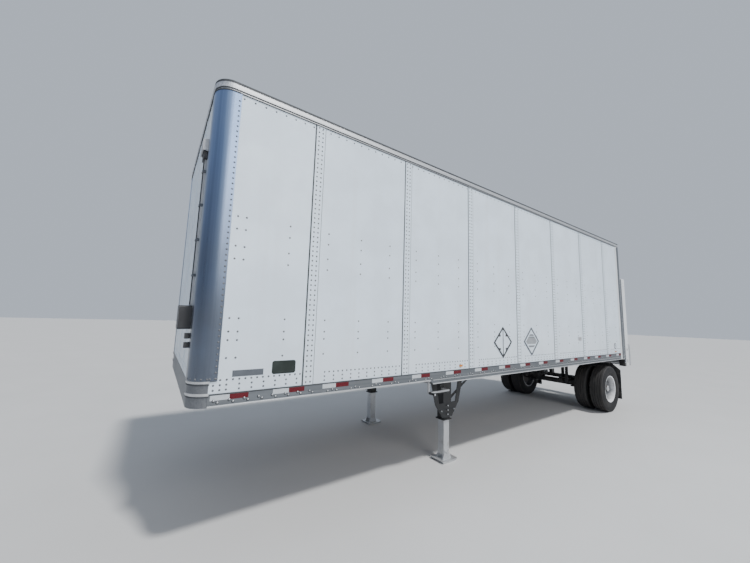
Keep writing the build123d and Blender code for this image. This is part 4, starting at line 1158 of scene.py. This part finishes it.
def underDress():
    springDress()
    low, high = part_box("air_tank")
    y = middle("air_tank")[1]
    radius = (high.y - low.y) / 2
    z = low.z + radius
    half, inner, outer = under["strapHalf"], radius - 0.001, radius + 0.003
    profile = ((-half, inner), (-half, outer), (half, outer), (half, inner))
    pieces = []
    for share in under["straps"]:
        x = low.x + (high.x - low.x) * share
        pieces.append(turned(profile, (x, y, z), under["strapSides"], (1, 0, 0)))
    for x, sign in ((high.x, 1), (low.x, -1)):
        profile = [(sign * reach, size) for reach, size in under["plug"]]
        pieces.append(turned(profile, (x, y, z - under["plugDrop"]), 16, (1, 0, 0)))
    smooth(fit("tank_straps", pieces, zinc))
    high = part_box("brake_chambers")[1]
    x, z = high.x - under["chamberHalf"], high.z - under["chamber"]
    start, end = (x - reach for reach in under["pushRod"])
    pieces = []
    for sign in (-1, 1):
        y = sign * (high.y - under["chamber"])
        pieces.append(turned(under["chamberClamp"], (x, y, z), 32, (1, 0, 0)))
        pieces.append(turned(under["chamberDome"], (high.x, y, z), 32, (1, 0, 0)))
        pieces.append(rod((start, y, z), (end, y, z), 0.009, 12))
    smooth(fit("chamber_fittings", pieces, blackSteel))


# Mud flaps: moulded ribs down both faces and the strip that clamps them to their bar
flap = {
    "width": 0.634, "cornerRun": 0.200, "cornerDrop": 0.174, "ribs": 7, "ribHalf": 0.006, "ribProud": 0.004,
    "ribFoot": 0.035, "ribTop": 0.110, "ribGap": 0.020, "lip": (0.003, 0.014), "strip": (0.055, 0.015),
    "stripProud": 0.005, "stripInset": 0.01, "bolts": 5, "boltInset": 0.04, "boltDrop": 0.035,
    "bolt": (0.009, 0.006),
}


def flapDress():
    low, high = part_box("mud_flaps")
    inner = high.y - flap["width"]
    cornerY = high.y - flap["cornerRun"]
    half, proud = flap["ribHalf"], flap["ribProud"]
    pitch = flap["width"] / flap["ribs"]
    pieces = []
    for index in range(flap["ribs"]):
        y = inner + pitch * (index + 0.5)
        cut = max(0.0, y + half - cornerY) / flap["cornerRun"] * flap["cornerDrop"]
        top = min(high.z - flap["ribTop"], high.z - cut - flap["ribGap"])
        start = (low.x - proud, y - half, low.z + flap["ribFoot"])
        pieces.append(block(start, (high.x + proud, y + half, top), 0.002))
    proud, tall = flap["lip"]
    pieces.append(block((low.x - proud, inner, low.z), (high.x + proud, high.y, low.z + tall), 0.002))
    fit("flap_ribs", pieces, flapRubber, both=True)
    face, inset = low.x - flap["stripProud"], flap["stripInset"]
    foot, top = (high.z - drop for drop in flap["strip"])
    pieces = [block((face, inner + inset, foot), (low.x, cornerY - inset, top), 0.001)]
    pitch = (flap["width"] - flap["cornerRun"] - 2 * flap["boltInset"]) / (flap["bolts"] - 1)
    for index in range(flap["bolts"]):
        spot = (face, inner + flap["boltInset"] + index * pitch, high.z - flap["boltDrop"])
        pieces.append(hexHead(spot, *flap["bolt"], (-1, 0, 0)))
    fit("flap_strip", pieces, zinc, both=True)


# Rear: joints and hinges between the door's sections, the seals round it and the guard's tape
rear = {
    "latchProud": 0.018, "sections": 9, "jointHalf": 0.0035, "jointInset": 0.006,
    "hinges": (-1.130, -0.560, 0.0, 0.560, 1.130), "hingeHalf": (0.0375, 0.035), "leaf": 0.003,
    "knuckle": (0.005, 0.006), "sealHalf": 0.006, "seal": (0.030, 0.004), "footSeal": (0.024, 0.002),
    "footSealHeight": 0.022,
}


def rearDress():
    low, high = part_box("roll_up_door")
    face = low.x + rear["latchProud"]  # the latch stands proud of the sections
    section = (high.z - low.z) / rear["sections"]
    half, inset = rear["jointHalf"], rear["jointInset"]
    start = (face - 0.0012, low.y + inset, low.z + section - half)
    joint = block(start, (face + 0.001, high.y - inset, low.z + section + half), 0)
    fit("door_joints", [repeat(joint, rear["sections"] - 1, (0, 0, section))], slateGrey)
    half, tall = rear["hingeHalf"]
    reach, radius = rear["knuckle"]
    pieces = []
    for index in range(1, rear["sections"]):
        z = low.z + section * index
        for y in rear["hinges"]:
            pieces.append(block((high.x, y - half, z - tall), (high.x + rear["leaf"], y + half, z + tall), 0.001))
            pieces.append(rod((high.x + reach, y - half, z), (high.x + reach, y + half, z), radius, 8))
    fit("door_hinges", pieces, zinc)
    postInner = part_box("rear_sill")[1].y
    half = rear["sealHalf"]
    back, ahead = (face - reach for reach in rear["seal"])
    pieces = []
    for y in (-postInner, postInner):
        pieces.append(block((back, y - half, low.z + 0.01), (ahead, y + half, high.z), 0.003))
    back, ahead = (face - reach for reach in rear["footSeal"])
    top = low.z + rear["footSealHeight"]
    pieces.append(block((back, -postInner, low.z - 0.001), (ahead, postInner, top), 0.004))
    fit("door_seals", pieces, flapRubber)


guard = {"length": 0.15, "gap": 0.002, "heights": (0.475, 0.525), "thickness": 0.0009}


def guardTape():
    low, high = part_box("underride_guard")
    length, gap = guard["length"], guard["gap"]
    base, top = guard["heights"]
    count = int((high.y - low.y) / (2 * length))
    strips = {"red": [], "white": []}
    for index in range(count):
        y = (2 * index - count) * length
        for name, start, end in (("red", y, y + length), ("white", y + length + gap, y + 2 * length - gap)):
            strips[name].append(block((low.x - guard["thickness"], start, base), (low.x, end, top), 0.0003))
    for name, finish in (("red", redTape), ("white", whiteTape)):
        fit(f"guard_tape_{name}", strips[name], finish)


# Lift gate: dark strips painted as the shade of grooves, gaps and slots, plates, boots and bolts of the columns,
# the deck's treads and the hinges' collars
gate = {
    "postGroove": (-4.492, -4.462, 1.170), "channel": (-4.692, -4.610), "channelEnds": (0.09, 0.012),
    "shoe": (-4.898, -4.700, 0.990, 1.480), "shoeProud": 0.0032, "slots": ((1.060, 1.150), (1.360, 1.420)),
    "slotHalf": 0.022, "slotStart": 0.0030, "slotDepth": 0.0012, "postPlate": (-4.593, -4.494, 1.172),
    "bootStart": 0.215, "bootFoot": 0.984, "bootProud": 0.0028, "boot": (-4.604, 1.062),
    "bootEnd": (-4.605, -4.5975, 1.150), "bootDepth": 0.118, "treads": 22, "treadHeights": (1.105, 2.545),
    "treadWidth": 0.012, "treadProud": 0.0025, "treadInset": 0.130,
    "collar": ((0, 0.034), (0.004, 0.034), (0.006, 0.031), (0.006, 0.0170), (0, 0.0170)),
    "collarPlace": (0.073, 0.120, 1.045), "boltRows": (1.20, 1.27, 1.44, 1.51, 3.02, 3.10),
    "boltColumns": (0.05, 0.15, 0.25), "bolt": (0.010, 0.0045),
}


def capsulePlate(place, start, depth):
    # An upright plate with round ends on the side of a column
    back, ahead, foot, top = place
    radius = (ahead - back) / 2
    centreX = (back + ahead) / 2
    points = []
    for centre, first in ((top - radius, 0.0), (foot + radius, math.pi)):
        for step in range(13):
            angle = first + math.pi * step / 12
            points.append((centreX + radius * math.cos(angle), centre + radius * math.sin(angle)))
    return outline(points, "XZ", start, depth)


def columnDress():
    low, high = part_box("gate_columns")
    face = high.y
    # Dark slate strips: painted shade of the rear post's groove, of the gap between post and column, and of the
    # shoe's slots
    back, ahead, foot = gate["postGroove"]
    pieces = [block((back, sideY, foot), (ahead, sideY + 0.001, topRailLow - 0.002), 0)]
    back, ahead = gate["channel"]
    rise, drop = gate["channelEnds"]
    pieces.append(block((back, face, low.z + rise), (ahead, face + 0.0015, high.z - drop), 0.0005))
    centreX = (gate["shoe"][0] + gate["shoe"][1]) / 2
    for base, top in gate["slots"]:
        place = (centreX - gate["slotHalf"], centreX + gate["slotHalf"], base, top)
        pieces.append(capsulePlate(place, face + gate["slotStart"], gate["slotDepth"]))
    fit("column_groove_shade", pieces, slateGrey, both=True)
    shoe = soften(capsulePlate(gate["shoe"], face, gate["shoeProud"]), 0.001)
    fit("column_shoes", [shoe], whiteSteel, both=True)
    back, ahead, foot = gate["postPlate"]
    strip = block((back, sideY, foot), (ahead, sideY + 0.0015, topRailLow - 0.004), 0.0006)
    fit("post_plates", [strip], sideRail, both=True)
    foot, outer = gate["bootFoot"], face + gate["bootProud"]
    ahead, top = gate["boot"]
    pieces = [block((low.x + gate["bootStart"], face, foot), (ahead, outer, top), 0.001)]
    back, ahead, top = gate["bootEnd"]
    pieces.append(block((back, face - gate["bootDepth"], foot), (ahead, outer, top), 0.002))
    fit("column_boots", pieces, flapRubber, both=True)


def gateDress():
    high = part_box("gate_platform")[1]
    foot, top = gate["treadHeights"]
    half = high.y - gate["treadInset"]
    end = (high.x + gate["treadProud"], half, foot + gate["treadWidth"])
    tread = block((high.x, -half, foot), end, 0.001)
    step = (top - foot) / (gate["treads"] - 1)
    fit("deck_treads", [repeat(tread, gate["treads"], (0, 0, step))], deckMetal, body="platform")
    low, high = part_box("gate_carriage")
    ahead, inset, z = gate["collarPlace"]
    pieces = []
    for sign in (-1, 1):
        profile = [(-sign * reach, radius) for reach, radius in gate["collar"]]
        pieces.append(turned(profile, (low.x + ahead, sign * (high.y - inset), z), 24))
    smooth(fit("hinge_collars", pieces, zinc, body="carriage"))
    low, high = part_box("gate_columns")
    pieces = []
    for z in gate["boltRows"]:
        for ahead in gate["boltColumns"]:
            pieces.append(hexHead((low.x + ahead, high.y, z), *gate["bolt"]))
    fit("column_bolts", pieces, zinc, both=True)


# Front wall: seam covers and rivets, clips and sleeve of the conduit, and the dark throat of the vent
front = {
    "seams": (-0.610, 0.0, 0.610), "coverHalf": 0.030, "coverProud": 0.0025, "rivetColumn": 0.018,
    "rivetEnd": 0.03, "rivetRows": (0.035, 0.080), "rivetSpan": 2.1, "rivetPitch": 0.1,
    "clipHeights": (2.32, 2.65, 2.98, 3.31), "clip": (0.034, 0.012), "clipReach": (0.006, 0.025),
    "clipScrew": (0.027, 0.005, 0.003), "sleeveFoot": 2.050, "sleeveTop": 1.40,
    "sleeve": (
        (0.0145, -0.0182, 0.0210, -0.0138), (0.0145, 0.0138, 0.0210, 0.0182), (0.0200, -0.0182, 0.0225, 0.0182),
    ),
    "throat": (0.006, 0.030, 0.075), "throatDrops": (0.178, 0.119),
}


def frontDress():
    low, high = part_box("front_wall")
    face, foot, top = high.x, low.z, topRailLow
    half, outer = front["coverHalf"], face + front["coverProud"]
    count = int((top - foot - 2 * front["rivetEnd"]) / rivet["pitch"])
    covers = []
    rows = []
    for y in front["seams"]:
        covers.append(block((face, y - half, foot), (outer, y + half, top), 0.001))
        for offset in (-front["rivetColumn"], front["rivetColumn"]):
            spot = (outer, y + offset, foot + front["rivetEnd"])
            rows.append(rivetRow(spot, count, (0, 0, rivet["pitch"]), facing=(1, 0, 0)))
    fit("front_seam_covers", covers, whitePanel)
    span, pitch = front["rivetSpan"], front["rivetPitch"]
    near, far = front["rivetRows"]
    for z in (foot + near, foot + far, top - near):
        rows.append(rivetRow((face, -span / 2, z), int(span / pitch), (0, pitch, 0), facing=(1, 0, 0)))
    fit("front_rivets", rows, whitePanel)
    low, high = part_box("front_vent")
    y = middle("front_vent")[1]
    wide, tall = front["clip"]
    back, ahead = noseX - front["clipReach"][0], noseX + front["clipReach"][1]
    offset, radius, depth = front["clipScrew"]
    pieces = []
    for z in front["clipHeights"]:
        pieces.append(block((back, y - wide, z - tall), (ahead, y + wide, z + tall), 0.003))
        for dy in (-offset, offset):
            pieces.append(hexHead((ahead, y + dy, z), radius, depth, (1, 0, 0)))
    fit("conduit_clips", pieces, slateGrey)
    foot, top = front["sleeveFoot"], low.z + front["sleeveTop"]
    pieces = []
    for back, near, ahead, far in front["sleeve"]:
        pieces.append(block((noseX + back, y + near, foot), (noseX + ahead, y + far, top), 0.001))
    fit("conduit_sleeve", pieces, blackPlastic)
    sunk, proud, half = front["throat"]
    foot, top = (high.z - drop for drop in front["throatDrops"])
    throat = block((noseX - sunk, y - half, foot), (noseX + proud, y + half, top), 0.003)
    fit("vent_throat", [throat], blackPlastic)


# Floor, lights and the camera, from where the photo was taken
studio = {
    "camera": (5.181, 4.221, 1.976), "turn": (96.854, -1.738, 144.960), "lens": 14.905,
    "sunFrom": (-0.14, 0.50, 1.0), "sunPower": 3.4, "sunSize": 5, "sky": (0.70, 0.78, 0.90),
    "frontSky": (0.46, 0.53, 0.69), "frontEdge": (0.30, 0.66), "skyPower": 0.72,
    "boxPlace": (1.5, 14.0, 8.0), "boxSize": 8.0, "boxPower": 700.0, "floorReach": 90,
}


def makeFloor():
    clearAll()
    bpy.ops.mesh.primitive_plane_add(size=2 * studio["floorReach"], location=(0, 0, 0))
    ground = bpy.context.object
    ground.name = "studio_floor"
    look = Finish("studioFloor")
    color = look.blend(look.noise(0.8, 3), (0.50, 0.50, 0.49), (0.56, 0.555, 0.545))
    look.set(color=color, rough=0.85, normal=look.bump(look.noise(40, 4), 0.002, 0.2))
    ground.data.materials.append(look.material)


def makeSky():
    # The front lies in shade, as a studio flag gives
    world = bpy.data.worlds.new("studioSky")
    bpy.context.scene.world = world
    world.use_nodes = True
    sky = Finish("skyShade", world.node_tree)
    toward = sky.node("ShaderNodeTexCoord", output="Generated")
    ahead = sky.between(sky.node("ShaderNodeSeparateXYZ", None, {0: toward}, "X"), *studio["frontEdge"])
    shade = sky.blend(ahead, studio["sky"], studio["frontSky"])
    shade = sky.blend(sky.node("ShaderNodeLightPath", output="Is Camera Ray"), shade, studio["sky"])
    background = sky.node("ShaderNodeBackground", None, {"Color": shade, "Strength": studio["skyPower"]})
    sky.node("ShaderNodeOutputWorld", None, {"Surface": background}, None)


def makeLights():
    turn = Vector(studio["sunFrom"]).to_track_quat("Z", "Y").to_euler()
    bpy.ops.object.light_add(type="SUN", rotation=turn)
    sun = bpy.context.object
    sun.name = "keyLight"
    sun.data.energy = studio["sunPower"]
    sun.data.angle = math.radians(studio["sunSize"])
    place = studio["boxPlace"]
    turn = Vector(place).to_track_quat("Z", "Y").to_euler()
    bpy.ops.object.light_add(type="AREA", location=place, rotation=turn)
    softBox = bpy.context.object
    softBox.name = "softBox"
    softBox.data.size = studio["boxSize"]
    softBox.data.energy = studio["boxPower"]


def makeCamera():
    turn = [math.radians(angle) for angle in studio["turn"]]
    bpy.ops.object.camera_add(location=studio["camera"], rotation=turn)
    camera = bpy.context.object
    camera.name = "photoCamera"
    camera.data.lens = studio["lens"]
    camera.data.sensor_width = 36
    camera.data.clip_end = 300
    bpy.context.scene.camera = camera


stages = (
    ("studio and frame dressed", (makeFloor, makeSky, makeLights, makeCamera, dressNodes)),
    # the beads are dark strips: sealant with painted shadow lines
    ("rivets and beads set", (sideRivets, postRivets, seamShadowLines)),
    ("rails, tape and roof dressed", (sideTape, railBolts, railRibs, topRailRibs, roofDress)),
    ("side fittings made", (noseDress, sidePlates, sideCap, placards)),
    ("wheels made", (tyres, wheelRims, hubDress)),
    ("underside dressed", (landingDress, underDress, flapDress)),
    ("ends dressed", (rearDress, guardTape, columnDress, gateDress, frontDress)),
)
for note, makers in stages:
    for make in makers:
        make()
    print(note)
